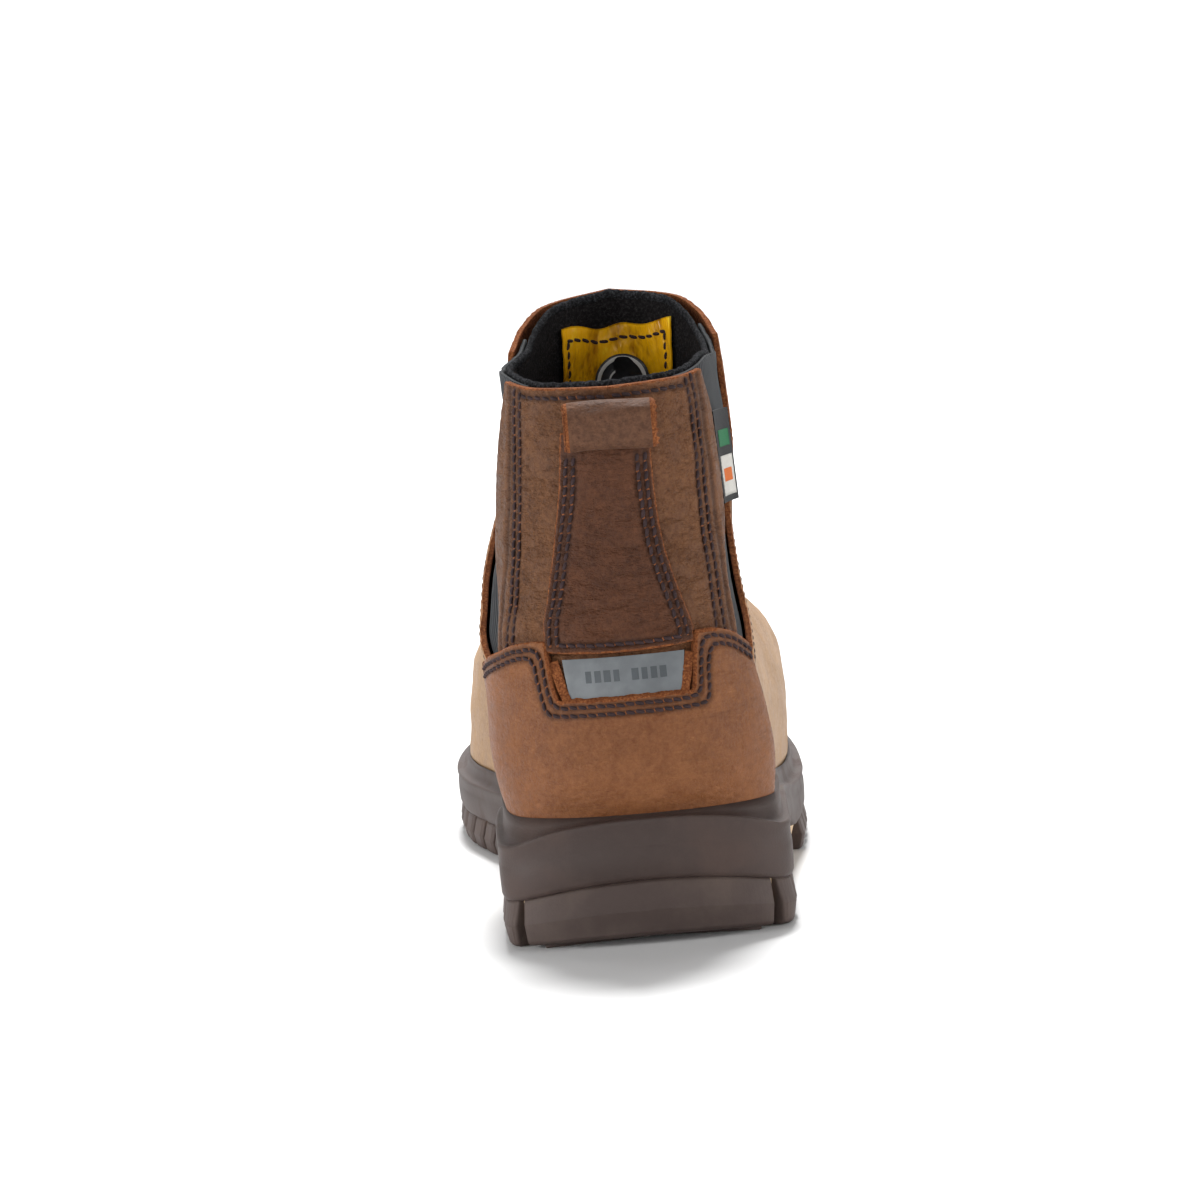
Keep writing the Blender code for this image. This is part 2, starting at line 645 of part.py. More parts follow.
def block(name, levels, parts, look):
    """Like slab, but with a straight front edge."""
    verts = []
    for y, inner, outer, z in levels:
        ring_x = np.concatenate([outer, -inner[:0:-1]]) + AXIS_X / MM
        ring_y = np.concatenate([y, y[:0:-1]])
        ring_z = np.concatenate([z, z[:0:-1]])
        verts.append(np.stack([ring_x, ring_y, ring_z], axis=-1) * MM)
    size = len(verts[0])
    count = len(levels[0][0])
    faces = grid_faces(len(levels), size, closed=True)
    for base in (0, (len(levels) - 1) * size):
        for i in range(count - 1):
            ring = [base + i, base + i + 1, base + size - i - 1, base + (size - i) % size]
            ring = [r for n, r in enumerate(ring) if r not in ring[:n]]
            faces.append(tuple(ring))
    return add_object(name, np.concatenate(verts), faces, parts, look)


def forefoot_tread(parts):
    rear, front = FORE_TREAD_BACK_Y, -REAR_Y / MM

    def ring(inset, lift):
        u = spread(0.0, 0.5, 21)
        y = front - inset - (front - inset - rear) * (1 - np.cos(np.pi * u))
        factor = rounding(front - inset - y, 78.0)
        y, factor = y[::-1], factor[::-1]
        inner = (curve(SOLE_WIDTHS, y, 1) - inset) * factor
        outer = (curve(SOLE_WIDTHS, y, 2) - inset) * factor
        return y[::-1], inner[::-1], outer[::-1], (spring_z(y) + lift)[::-1]

    return block("forefoot_tread", [ring(3.5, 0.0), ring(1.5, 3.0), ring(1.5, FORE_TREAD_TOP)], parts,
                 ((0.09, 0.075, 0.065), 0.7))


def tread_top(y):
    """Top of the tread along the boot, in millimetres: heel height, blended to the forefoot's."""
    blend = smoothstep(HEEL_BREAST_Y + 12, FORE_TREAD_BACK_Y - 12, y)
    return HEEL_TREAD_TOP * (1 - blend) + (FORE_TREAD_TOP + spring_z(y)) * blend


def midsole_core(parts):
    low = sole_ring(3.0, lambda y: tread_top(y) + GAP / MM)
    high = sole_ring(3.0, lambda y: tread_top(y) + GAP / MM + CORE_THICKNESS)
    return slab("midsole_core", [low, high], parts, ((0.68, 0.5, 0.32), 0.8))


def frame_top(y):
    return curve(SOLE_LINE, y) - 0.9


def midsole_frame(parts):
    base = 2 * GAP / MM + CORE_THICKNESS

    def between(f):
        return lambda y: (tread_top(y) + base) * (1 - f) + frame_top(y) * f

    levels = [sole_ring(1.5, between(0)), sole_ring(0.0, between(0.25)), sole_ring(0.6, between(0.6)),
              sole_ring(2.6, between(1))]
    return slab("midsole_frame", levels, parts, ((0.11, 0.09, 0.08), 0.7))


def strip(name, half_width, y_from, y_to, drop, thickness, parts, look):
    """A strip along the boot's middle that follows the midsole's top, drop millimetres under it."""
    y = spread(y_from, y_to, 14)
    verts = [(AXIS_X / MM + x, at, frame_top(at) - drop) for at in y for x in (-half_width, half_width)]
    made = add_object(name, np.array(verts) * MM, grid_faces(len(y), 2), parts, look, False)
    return thicken(made, thickness)


def shank(parts, frame, cutters):
    """Steel shank, let into the top of the midsole under the waist."""
    clear = GAP / MM
    cutter = strip("shank_recess_cutter", SHANK_WIDTH / 2 + clear, SHANK_Y[0] - clear, SHANK_Y[1] + clear, -3.0,
                   3.1 + SHANK_THICKNESS + clear, cutters, ((0.5, 0.5, 0.5),))
    cutter.hide_render = True
    cutter.display_type = "WIRE"
    recess = frame.modifiers.new("Shank recess", "BOOLEAN")
    recess.object = cutter
    recess.operation = "DIFFERENCE"
    recess.solver = "EXACT"
    return strip("shank", SHANK_WIDTH / 2, SHANK_Y[0], SHANK_Y[1], 0.1, SHANK_THICKNESS, parts,
                 ((0.45, 0.46, 0.48), 0.35, 1.0))


def inner_ring(inset, z, count=27):
    y, inner, outer = outline(FOOT_WIDTHS, BACK_LINE[0][1], FRONT_LINE[0][1], 24.0, 72.0, inset, count)
    return y, inner, outer, z(y)


def insole_board(parts):
    low = inner_ring(BOARD_INSET, lambda y: frame_top(y) + 0.9)
    high = inner_ring(BOARD_INSET, lambda y: frame_top(y) + 0.9 + BOARD_THICKNESS)
    return slab("insole_board", [low, high], parts, ((0.55, 0.42, 0.28), 0.9))


def footbed(parts):
    base = 0.9 + BOARD_THICKNESS + GAP / MM
    low = inner_ring(FOOTBED_INSET, lambda y: frame_top(y) + base)
    high = inner_ring(FOOTBED_INSET, lambda y: frame_top(y) + base + FOOTBED_THICKNESS)
    made = slab("footbed", [low, high], parts, ((0.04, 0.04, 0.045), 0.9))
    return move_origin(made, (AXIS_X, 0, (frame_top(0.0) + base) * MM))


# Assembly ----------------------------------------------------------------------------------------------------
def main():
    for old in list(bpy.data.objects):
        bpy.data.objects.remove(old, do_unlink=True)
    parts = collection("steel_toe_work_boot")
    brown = ((0.3, 0.18, 0.11), 0.6)
    vamp(parts)
    rear_panel("quarter_medial", -1, 0.004, QUARTER_EDGES[-1], LEATHER, parts, brown)
    rear_panel("quarter_lateral", 1, 0.004, QUARTER_EDGES[1], LEATHER, parts, brown)
    heel_counter(parts)
    back_stay(parts)
    reflective_patch(parts)
    gore(-1, parts)
    gore(1, parts)
    lining_rear(parts)
    seam = ((30, LINING_SEAM_Y + 0.5), (180, LINING_SEAM_Y + 0.5))
    vamp(parts, "lining_front", LINING, {-1: seam, 1: seam}, ((0.03, 0.03, 0.032), 0.95), 0.02, 18, 33)
    collar_binding(parts)
    inner_label(parts)
    label_badge(parts)
    pull_loop(parts)
    side_tag(parts)
    heel_stiffener(parts)
    steel_toe_cap(parts)
    ring_strip("toe_cap_bead", CAP_BACK_Y - 1.0, CAP_BACK_Y - 9.0, (-2.6, 1.2), parts, ((0.05, 0.05, 0.05), 0.8))
    heel_tread(parts)
    forefoot_tread(parts)
    midsole_core(parts)
    shank(parts, midsole_frame(parts), collection("cutters"))
    insole_board(parts)
    footbed(parts)


if __name__ == "__main__":
    main()
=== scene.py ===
"""Looks of the steel toe work boot: leather panels, stitching, elastic, lining, label, tag and sole.

Metres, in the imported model's frame: toe towards +Y, outer side towards +X. The shape maths works in millimetres
on the same boot-shaped surface as the solids. Every piece rides on the body that its solid belongs to.
"""

import math

import bpy
import numpy as np
from mathutils import Matrix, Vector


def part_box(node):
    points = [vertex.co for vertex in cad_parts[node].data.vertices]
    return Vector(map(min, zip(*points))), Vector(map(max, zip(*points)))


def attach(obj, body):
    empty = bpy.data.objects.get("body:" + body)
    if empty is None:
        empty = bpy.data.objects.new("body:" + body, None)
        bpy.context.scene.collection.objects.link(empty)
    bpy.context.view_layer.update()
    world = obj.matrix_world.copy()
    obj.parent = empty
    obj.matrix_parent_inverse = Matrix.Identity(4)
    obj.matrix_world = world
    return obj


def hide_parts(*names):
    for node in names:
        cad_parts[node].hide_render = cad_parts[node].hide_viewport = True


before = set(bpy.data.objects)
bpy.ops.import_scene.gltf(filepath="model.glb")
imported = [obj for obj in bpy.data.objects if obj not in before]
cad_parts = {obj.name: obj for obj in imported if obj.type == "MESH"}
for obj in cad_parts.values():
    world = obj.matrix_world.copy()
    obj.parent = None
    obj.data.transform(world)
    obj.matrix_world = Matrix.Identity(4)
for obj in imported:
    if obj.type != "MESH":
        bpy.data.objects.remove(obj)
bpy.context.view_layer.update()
MM = 0.001
RNG = np.random.default_rng(7)

# Driving dimensions, in millimetres ---------------------------------------------------------------------------
AXIS_X = 3.5
REAR_Y, TOE_Y = -149.0, 149.0

BACK_LINE = ((0.00, -141.5, 33), (0.13, -144.5, 47), (0.24, -144.5, 59), (0.40, -141, 78), (0.55, -137, 95),
             (0.70, -135, 114), (0.87, -135, 134), (1.00, -137, 149))
FRONT_LINE = ((0.00, 141, 34), (0.05, 143.5, 46), (0.10, 140, 56), (0.16, 130, 66), (0.23, 113, 74),
              (0.31, 93, 80), (0.39, 72, 85), (0.47, 50, 91), (0.54, 30, 99), (0.61, 10, 111),
              (0.68, -5, 123), (0.78, -15, 138), (0.89, -21, 155), (1.00, -24, 173))
SOLE_LINE = ((-150, 33.5), (-90, 31.5), (-40, 27), (20, 24.5), (70, 24.5), (110, 28), (150, 35.5))
FOOT_WIDTHS = ((-150, 31, 31), (-129, 33, 33), (-109, 34.5, 34), (-79, 34, 35.5), (-49, 31.5, 39),
               (-19, 33.5, 43.5), (11, 42, 46), (41, 50, 47), (61, 52.5, 46.5), (86, 53, 44.5), (111, 54, 41),
               (131, 56, 37), (150, 57, 35))
SHAFT_WIDTHS = ((0.00, 36, 0), (0.20, 36.5, -1.1), (0.35, 35.6, -2), (0.50, 33.6, -1.8), (0.60, 32.8, -1.7),
                (0.75, 31.8, -1.2), (1.00, 30, 0))
FRONT_ROUNDING = ((0.00, 72), (0.15, 100), (0.30, 135), (0.40, 140), (0.55, 95), (0.70, 60), (1.00, 42))
BACK_ROUNDING = ((0.00, 24), (0.20, 34), (0.40, 38), (0.70, 34), (1.00, 34))
COLLAR_LINE = ((0.00, 145.5), (0.15, 146.5), (0.38, 151), (0.50, 151), (0.62, 155), (0.70, 161), (0.80, 166.5),
               (1.00, 170))
SOLE_WIDTHS = ((-149, 39, 38), (-129, 40, 38.5), (-109, 40.5, 39), (-79, 38.5, 40), (-49, 35.5, 43.5),
               (-19, 38, 48), (11, 47, 50.3), (41, 55, 50.8), (61, 57.2, 50.3), (86, 58, 48.5), (111, 59, 45),
               (131, 61, 41), (149, 62, 39))

# Layers: (depth of the outer face outside the quarters' outer face, thickness).
OVERLAY = (2.2, 1.6)
LEATHER = (0.0, 1.8)
INNER = (-2.8, 1.2)
LINING = (-4.7, 1.1)

# Panel edges on the inner (-1) and outer (1) side: (z, y), low to high.
QUARTER_EDGES = {
    -1: ((30, -119.5), (60, -119.5), (78, -116.6), (90, -112.7), (105, -109.5), (122, -110.8), (136, -114.2),
         (149, -119.6), (155, -121.6)),
    1: ((30, -130), (62, -130), (74, -125), (88, -121.3), (100, -119.3), (111, -116.1), (136, -118.2),
        (149, -123.9), (155, -125.8))}
VAMP_EDGES = {
    -1: ((30, -115), (57, -115), (67, -109), (76, -100), (92, -89), (110, -78), (130, -67), (155, -58)),
    1: ((30, -127), (57, -127), (67, -117), (76, -106), (92, -93), (110, -80), (130, -68), (155, -58))}
COUNTER_EDGES = {-1: ((30, -108), (78, -108)), 1: ((30, -124), (45, -123), (78, -123.5))}

# On the chart, s is the distance round from the back's middle; (s, z) or (z, s) as named.
COUNTER_TOPS = {-1: ((18, 80), (22, 80.2), (30, 79.4), (38.5, 77.2), (50, 74.5), (58, 72.5), (70, 69.5)),
                1: ((16, 80), (22, 80), (30, 78.4), (37.5, 74.6), (46, 71), (56, 67.5), (70, 64))}
CUT_WALLS = {-1: (17.6, 20.6), 1: (16.2, 18.8)}     # s at the foot and the top of the cut-out's side
CUT_BOTTOM = 65.0                                    # lowest height of the cut-out's edge
STAY_EDGES = {-1: ((76, 20.4), (82, 20.6), (90, 18.9), (105, 15.8), (122, 13.4), (136, 12.5)),
              1: ((76, 18.2), (80, 18.3), (86, 16.6), (94, 14.2), (105, 11.8), (122, 10.3), (136, 9.8))}
STAY_FOOT, STAY_HEAD = 76.4, 134.5
SEAM_ROWS = {   # the quarters' upright seams: (z, s) of the outer row, then the inner row
    -1: (((79, 37.5), (90, 34.6), (105, 31.2), (122, 29.5), (148, 28.8)),
         ((79, 34.4), (90, 31.9), (105, 28.8), (122, 27.1), (148, 26.3))),
    1: (((79, 30.6), (90, 30.0), (105, 28.3), (122, 27.3), (130, 27.0), (148, 24.3)),
        ((79, 27.3), (90, 26.9), (105, 25.6), (122, 24.8), (130, 24.6), (148, 22.0)))}
FAINT_ROWS = {-1: ((79, 41), (90, 39.5), (105, 34.5), (122, 32), (148, 30.6)),
              1: ((79, 34), (90, 33.4), (105, 31.7), (122, 30.4), (148, 27))}
PATCH_Z = (65.0, 75.6)
PATCH_EDGE = ((65, 14.6), (75, 15.8))               # (z, half width)
GORE_BOTTOM = 63.0
LINING_SEAM_Y = -66.0
LOOP_FOOT_Z = 129.5

PITCH = 2.5                # stitch length
THREAD = 0.52              # thread radius
SLANT = 0.46               # a lockstitch lies a little across its row
FRONT_LEAN = 3.4           # the shaft's front stands this far over to the outer side
INNER_BULGES = (3.8, 4.0)   # how far the inner elastic swells out at the ankle and at the collar


# Surface maths ------------------------------------------------------------------------------------------------
def curve(table, at, column=1):
    """Smooth value of a table's column at a position, by a monotone cubic."""
    table = np.asarray(table, dtype=float)
    xs, ys = table[:, 0], table[:, column]
    at = np.clip(np.asarray(at, dtype=float), xs[0], xs[-1])
    step = np.diff(xs)
    slope = np.diff(ys) / step
    tangent = np.empty_like(ys)
    tangent[0], tangent[-1] = slope[0], slope[-1]
    for i in range(1, len(xs) - 1):
        if slope[i - 1] * slope[i] <= 0:
            tangent[i] = 0
        else:
            w1, w2 = 2 * step[i] + step[i - 1], step[i] + 2 * step[i - 1]
            tangent[i] = (w1 + w2) / (w1 / slope[i - 1] + w2 / slope[i])
    i = np.clip(np.searchsorted(xs, at) - 1, 0, len(xs) - 2)
    h = step[i]
    s = (at - xs[i]) / h
    return ((2 * s**3 - 3 * s**2 + 1) * ys[i] + (s**3 - 2 * s**2 + s) * h * tangent[i]
            + (3 * s**2 - 2 * s**3) * ys[i + 1] + (s**3 - s**2) * h * tangent[i + 1])


def smoothstep(low, high, x):
    s = np.clip((x - low) / (high - low), 0, 1)
    return s * s * (3 - 2 * s)


def rounding(distance, length, power=2.0):
    """Width factor near an end: 0 at the end, 1 once past the rounding's length."""
    d = np.clip(distance / length, 0, 1)
    return (1 - (1 - d) ** power) ** (1 / power)


def middle_x(v):
    return AXIS_X + curve(SHAFT_WIDTHS, v, 2)


def front_lean(y, z):
    """How far the front of the shaft stands over to the outer side."""
    return FRONT_LEAN * smoothstep(-112, -82, y) * smoothstep(102, 128, z)


def inner_bulge(y, z):
    """How far the elastic on the inner side swells out past the quarter's edge."""
    ankle = INNER_BULGES[0] * smoothstep(62, 82, z) * (1 - smoothstep(90, 114, z))
    ankle = ankle * smoothstep(-113, -99, y) * (1 - smoothstep(-66, -30, y))
    collar = INNER_BULGES[1] * smoothstep(136, 152, z) * smoothstep(-115, -88, y) * (1 - smoothstep(-74, -57, y))
    return ankle + collar


def upper_point(a, v):
    """Point of the upper's surface. a is -1..1 round the boot (0 back, +-1 front, + outer side), v 0..1 upward."""
    a, v = np.asarray(a, dtype=float), np.asarray(v, dtype=float)
    back_y, back_z = curve(BACK_LINE, v, 1), curve(BACK_LINE, v, 2)
    front_y, front_z = curve(FRONT_LINE, v, 1), curve(FRONT_LINE, v, 2)
    t = (1 - np.cos(np.pi * np.abs(a))) / 2
    y = back_y + (front_y - back_y) * t
    z = back_z + (front_z - back_z) * t
    (_, y0, z0), (_, y1, z1) = BACK_LINE[0], FRONT_LINE[0]
    z = z + (curve(SOLE_LINE, y) - z0 - (z1 - z0) * (y - y0) / (y1 - y0)) * np.clip(1 - v / 0.3, 0, 1) ** 2
    foot = np.where(a > 0, curve(FOOT_WIDTHS, y, 2), curve(FOOT_WIDTHS, y, 1))
    swell = np.where(a > 0, 2.2, 2.2 - 5 * smoothstep(-40, 30, y))
    foot = foot + swell * np.sin(np.pi * np.clip(v / 0.3, 0, 1))
    width = foot + (curve(SHAFT_WIDTHS, v, 1) - foot) * smoothstep(0.06, 0.46, v)
    width = width * rounding(front_y - y, curve(FRONT_ROUNDING, v))
    width = width * rounding(y - back_y, curve(BACK_ROUNDING, v), 2.25)
    width = width + np.where(a < 0, inner_bulge(y, z), 0)
    return np.stack([middle_x(v) + front_lean(y, z) + np.sign(a) * width, y, z], axis=-1)


def upper_normal(a, v):
    """Outward unit normal of the upper's surface."""
    e = 0.004
    a, v = np.asarray(a, dtype=float), np.asarray(v, dtype=float)
    ahead, behind = a + e, a - e
    ahead = np.where(ahead > 1, ahead - 2, ahead)
    behind = np.where(behind < -1, behind + 2, behind)
    along = upper_point(ahead, v) - upper_point(behind, v)
    up = upper_point(a, np.minimum(v + e, 1.0)) - upper_point(a, np.maximum(v - e, 0.0))
    n = np.cross(along, up)
    return n / np.linalg.norm(n, axis=-1, keepdims=True)


def v_at_z(z, a):
    """Level at which the surface at angle a has height z."""
    low, high = np.zeros_like(a), np.ones_like(a)
    for _ in range(22):
        middle = (low + high) / 2
        below = upper_point(a, middle)[..., 2] < z
        low, high = np.where(below, middle, low), np.where(below, high, middle)
    return (low + high) / 2


def a_at_y(y, v, side):
    back, front = curve(BACK_LINE, v, 1), curve(FRONT_LINE, v, 1)
    t = np.clip((y - back) / (front - back), 0, 1)
    return side * np.arccos(1 - 2 * t) / np.pi


def v_collar(a):
    return v_at_z(curve(COLLAR_LINE, np.abs(a)), a)


class Chart:
    """The upper unrolled: s is the distance round from the back's middle at height z, - on the inner side."""

    def __init__(self):
        self.z = np.linspace(24, 172, 100)
        self.a = np.linspace(0, 1, 201)
        self.s, self.v, self.y = {}, {}, {}
        for side in (-1, 1):
            grid_z, grid_a = np.meshgrid(self.z, side * self.a, indexing="ij")
            self.v[side] = v_at_z(grid_z, grid_a)
            points = upper_point(grid_a, self.v[side])
            step = np.linalg.norm(np.diff(points, axis=1), axis=2)
            self.s[side] = np.concatenate([np.zeros((len(self.z), 1)), np.cumsum(step, axis=1)], axis=1)
            self.y[side] = points[..., 1]

    def _look(self, at, z, xs, ys, side):
        """Value of ys where xs equals at, between the two table rows either side of each z."""
        at, z = np.broadcast_arrays(np.asarray(at, dtype=float), np.asarray(z, dtype=float))
        f = np.clip((z - self.z[0]) / (self.z[1] - self.z[0]), 0, len(self.z) - 1.001)
        row = f.astype(int)
        found = np.zeros(at.shape)
        pick = lambda table, j: table[side][j] if isinstance(table, dict) else table
        for k in np.unique(row):
            m = row == k
            pair = [np.interp(at[m], pick(xs, j), pick(ys, j)) for j in (k, k + 1)]
            found[m] = pair[0] * (1 - (f[m] - k)) + pair[1] * (f[m] - k)
        return found

    def av(self, s, z):
        """Surface parameters at chart positions."""
        s, z = np.broadcast_arrays(np.asarray(s, dtype=float), np.asarray(z, dtype=float))
        a, v = np.zeros(s.shape), np.zeros(s.shape)
        for side in (-1, 1):
            m = (s < 0) if side < 0 else (s >= 0)
            if m.any():
                size = self._look(np.abs(s[m]), z[m], self.s, self.a, side)
                a[m] = side * size
                v[m] = self._look(size, z[m], self.a, self.v, side)
        return a, v

    def s_at_y(self, y, z, side):
        return side * self._look(y, z, self.y, self.s, side)

    def edge(self, table, z, side):
        """Signed s of a side-view edge (z, y) at height z."""
        return self.s_at_y(curve(table, z), z, side)

    def points(self, s, z, depth):
        """Points at chart positions, a depth outside the surface, and their normals."""
        a, v = self.av(s, z)
        normals = upper_normal(a, v)
        return upper_point(a, v) + normals * np.asarray(depth)[..., None], normals


CHART = Chart()


# Mesh helpers -------------------------------------------------------------------------------------------------
def grid_faces(rows, columns, closed=False):
    i, j = np.meshgrid(np.arange(rows - 1), np.arange(columns if closed else columns - 1), indexing="ij")
    k = (j + 1) % columns
    corners = (i * columns + j, i * columns + k, (i + 1) * columns + k, (i + 1) * columns + j)
    return np.stack(corners, axis=-1).reshape(-1, 4)


def add_piece(name, verts, faces, looks, body="boot", replaces=(), material_of=None, attributes=None, smooth=True,
              sharp=None):
    """A mesh object from millimetre points, riding on a body."""
    mesh = bpy.data.meshes.new(name)
    faces = [tuple(int(i) for i in face) for face in faces]
    mesh.from_pydata((np.asarray(verts) * MM).tolist(), [], faces)
    for look in looks:
        mesh.materials.append(look)
    if material_of is not None:
        mesh.polygons.foreach_set("material_index", np.asarray(material_of, dtype=np.int32))
    mesh.polygons.foreach_set("use_smooth", np.full(len(mesh.polygons), smooth))
    for key, values in (attributes or {}).items():
        layer = mesh.attributes.new(key, "FLOAT", "POINT")
        layer.data.foreach_set("value", np.asarray(values, dtype=np.float32))
    if sharp is not None:
        marked = {tuple(sorted(pair)) for pair in sharp}
        for edge in mesh.edges:
            if tuple(sorted(edge.vertices)) in marked:
                edge.use_edge_sharp = True
    mesh.validate()
    made = bpy.data.objects.new(name, mesh)
    bpy.context.scene.collection.objects.link(made)
    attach(made, body)
    if replaces:
        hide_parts(*replaces)
    return made


def edged(count, length, fine=(0.12, 0.4, 0.9)):
    """Parameters 0..1 with extra lines close to both ends."""
    near = np.array(fine) / length
    inside = np.linspace(0, 1, count)[1:-1]
    inside = inside[(inside > near[-1] * 1.3) & (inside < 1 - near[-1] * 1.3)]
    return np.concatenate([[0], near, inside, 1 - near[::-1], [1]])


def distance_to(points, line):
    """Distance from each point to the nearest point of a dense polyline."""
    flat = points.reshape(-1, 3)
    found = np.full(len(flat), 1e9)
    for start in range(0, len(flat), 2000):
        block = flat[start:start + 2000]
        gap = ((block[:, None, :] - line[None, :, :]) ** 2).sum(axis=2)
        found[start:start + 2000] = np.sqrt(gap.min(axis=1))
    return found.reshape(points.shape[:-1])


def resample(line, step):
    """The polyline again, at an even spacing close to step."""
    line = np.asarray(line, dtype=float)
    run = np.concatenate([[0], np.cumsum(np.linalg.norm(np.diff(line, axis=0), axis=1))])
    count = max(2, int(round(run[-1] / step)) + 1)
    at = np.linspace(0, run[-1], count)
    return np.stack([np.interp(at, run, line[:, i]) for i in range(line.shape[1])], axis=1)


def lumps(points, size, seed):
    """Smooth pseudo-random values, about -1 to 1, from a few summed waves; size is the lump's width."""
    rng = np.random.default_rng(seed)
    total = np.zeros(points.shape[:-1])
    for _ in range(9):
        way = rng.normal(size=3)
        way *= 2 * np.pi / (size * np.linalg.norm(way) * rng.uniform(0.7, 1.6))
        total += np.sin(points @ way + rng.uniform(0, 6.28))
    return total / 4


def border_of(rows, columns):
    """Indices round the edge of a grid, in order."""
    ring = list(range(columns)) + [i * columns + columns - 1 for i in range(1, rows)]
    ring += [(rows - 1) * columns + j for j in range(columns - 2, -1, -1)]
    return np.array(ring + [i * columns for i in range(rows - 2, 0, -1)])


def closed_sheet(skins, rows, columns):
    """(points, faces) of a thin closed piece between two grids of points."""
    count, faces, ring = rows * columns, grid_faces(rows, columns), border_of(rows, columns)
    rim = np.stack([ring, np.roll(ring, -1), count + np.roll(ring, -1), count + ring], axis=1)
    points = np.concatenate([skin.reshape(-1, 3) for skin in skins])
    return points, np.concatenate([faces, count + faces[:, ::-1], rim])


def panel(name, a, v, layer, looks, replaces=(), rows=(), relief=None, round_edge=0.7, fuzz=0.12, groove=0.28,
          joined=None, raw=0.0):
    """A closed leather or cloth panel over a grid of surface parameters.

    looks are the outer skin's material and the cut edge's. rows are stitch lines (points in millimetres) that
    pull the skin in. relief(points) adds to the outer face's depth. joined(points) marks the border that meets
    its neighbour and isn't a cut edge. raw is how far the cut edge's colour comes round onto the outer face (a
    number or a function of the points). The vertex values "edge" and "seam" are the distances to the panel's edge
    and to the nearest stitch line.
    """
    outer, thick = layer
    base, normals = upper_point(a, v), upper_normal(a, v)
    count = a.size
    ring = border_of(*a.shape)
    skin = base + normals * outer
    border = resample(np.concatenate([skin.reshape(-1, 3)[ring], skin.reshape(-1, 3)[ring[:1]]]), 0.5)
    if joined is not None:
        border = border[~joined(border)]
    edge = distance_to(skin, border)
    edge = edge + 0.16 * lumps(skin, 1.7, 21) * np.clip(edge / 0.3, 0, 1) * (edge < 3)
    edge = np.maximum(edge, 0)
    seam = np.full(a.shape, 20.0)
    for row in rows:
        seam = np.minimum(seam, distance_to(skin, resample(row, 0.6)))
    depth = np.full(a.shape, float(outer))
    if relief is not None:
        depth = depth + relief(base) * np.clip(edge / 3, 0, 1)
    depth -= groove * np.exp(-((seam / 0.75) ** 2))
    depth += 0.16 * np.exp(-(((seam - 2.0) / 1.1) ** 2)) * np.clip(edge / 1.2, 0, 1) * (len(rows) > 0)
    inside = np.clip(edge / round_edge, 0, 1)
    depth -= round_edge * 0.8 * (1 - np.sqrt(1 - (1 - inside) ** 2))
    top = (base + normals * depth[..., None]).reshape(-1, 3)
    bottom = (base + normals * (outer - thick)).reshape(-1, 3)
    rim = []
    away = skin.reshape(-1, 3)[ring] - 0.5 * (skin.reshape(-1, 3)[np.roll(ring, 1)]
                                              + skin.reshape(-1, 3)[np.roll(ring, -1)])
    for n, share in enumerate((0.35, 0.72)):
        loop = top[ring] * (1 - share) + bottom[ring] * share
        jitter = lumps(loop, 1.1, 11 + n)[:, None] * fuzz + lumps(loop, 0.45, 31 + n)[:, None] * fuzz * 0.6
        rim.append(loop + normals.reshape(-1, 3)[ring] * jitter * 0.6 + away * 0.1)
    verts = np.concatenate([top, bottom] + rim)
    skin_faces = grid_faces(*a.shape)
    loops = [ring, 2 * count + np.arange(len(ring)), 2 * count + len(ring) + np.arange(len(ring)), count + ring]
    rim_faces = []
    for one, two in zip(loops[:-1], loops[1:]):
        rim_faces.append(np.stack([one, two, np.roll(two, -1), np.roll(one, -1)], axis=1))
    faces = np.concatenate([skin_faces, count + skin_faces[:, ::-1]] + rim_faces)
    reach = raw(skin).reshape(-1)[skin_faces].mean(axis=1) if callable(raw) else raw
    near = edge.reshape(-1)[skin_faces].mean(axis=1) < reach
    which = np.concatenate([near.astype(int), np.ones(len(faces) - len(skin_faces))])
    rest = len(verts) - count
    values = {"edge": np.concatenate([edge.ravel(), np.zeros(rest)]),
              "seam": np.concatenate([seam.ravel(), np.full(rest, 20.0)])}
    sharp = np.stack([ring, np.roll(ring, -1)], axis=1).tolist()
    return add_piece(name, verts, faces, looks, "boot", replaces, which, values, sharp=sharp)


def chart_grid(left, right, bottom, top, f, t):
    """(s, z) over a panel bounded by s = left(z), right(z) and z = bottom(s, z), top(s, z)."""
    grid_f, grid_t = np.meshgrid(f, t)
    z = 60 + 60 * grid_t
    s = left(z) + (right(z) - left(z)) * grid_f
    for _ in range(7):
        low, high = bottom(s, z), top(s, z)
        z = low + (high - low) * grid_t
        s = left(z) + (right(z) - left(z)) * grid_f
    return s, z


def collar_z(s, z):
    """Height of the collar's edge above chart positions."""
    a, _ = CHART.av(s, z)
    return curve(COLLAR_LINE, np.abs(a))


def chart_line(s, z, depth):
    """A dense 3-D line (points, normals) along chart positions."""
    line = resample(np.stack(np.broadcast_arrays(s, z), axis=1), 0.8)
    return CHART.points(line[:, 0], line[:, 1], np.full(len(line), float(depth)))


STITCHES = {}               # seam group: [(start, stop, outward), ...]


def stitch(group, line, pitch=PITCH):
    """Adds a row of stitches along a line (points, normals) to a named group."""
    points, normals = line
    joined = resample(np.concatenate([points, normals], axis=1), pitch)
    at, up = joined[:, :3], joined[:, 3:]
    for i in range(len(at) - 1):
        STITCHES.setdefault(group, []).append((at[i], at[i + 1], up[i] + up[i + 1]))


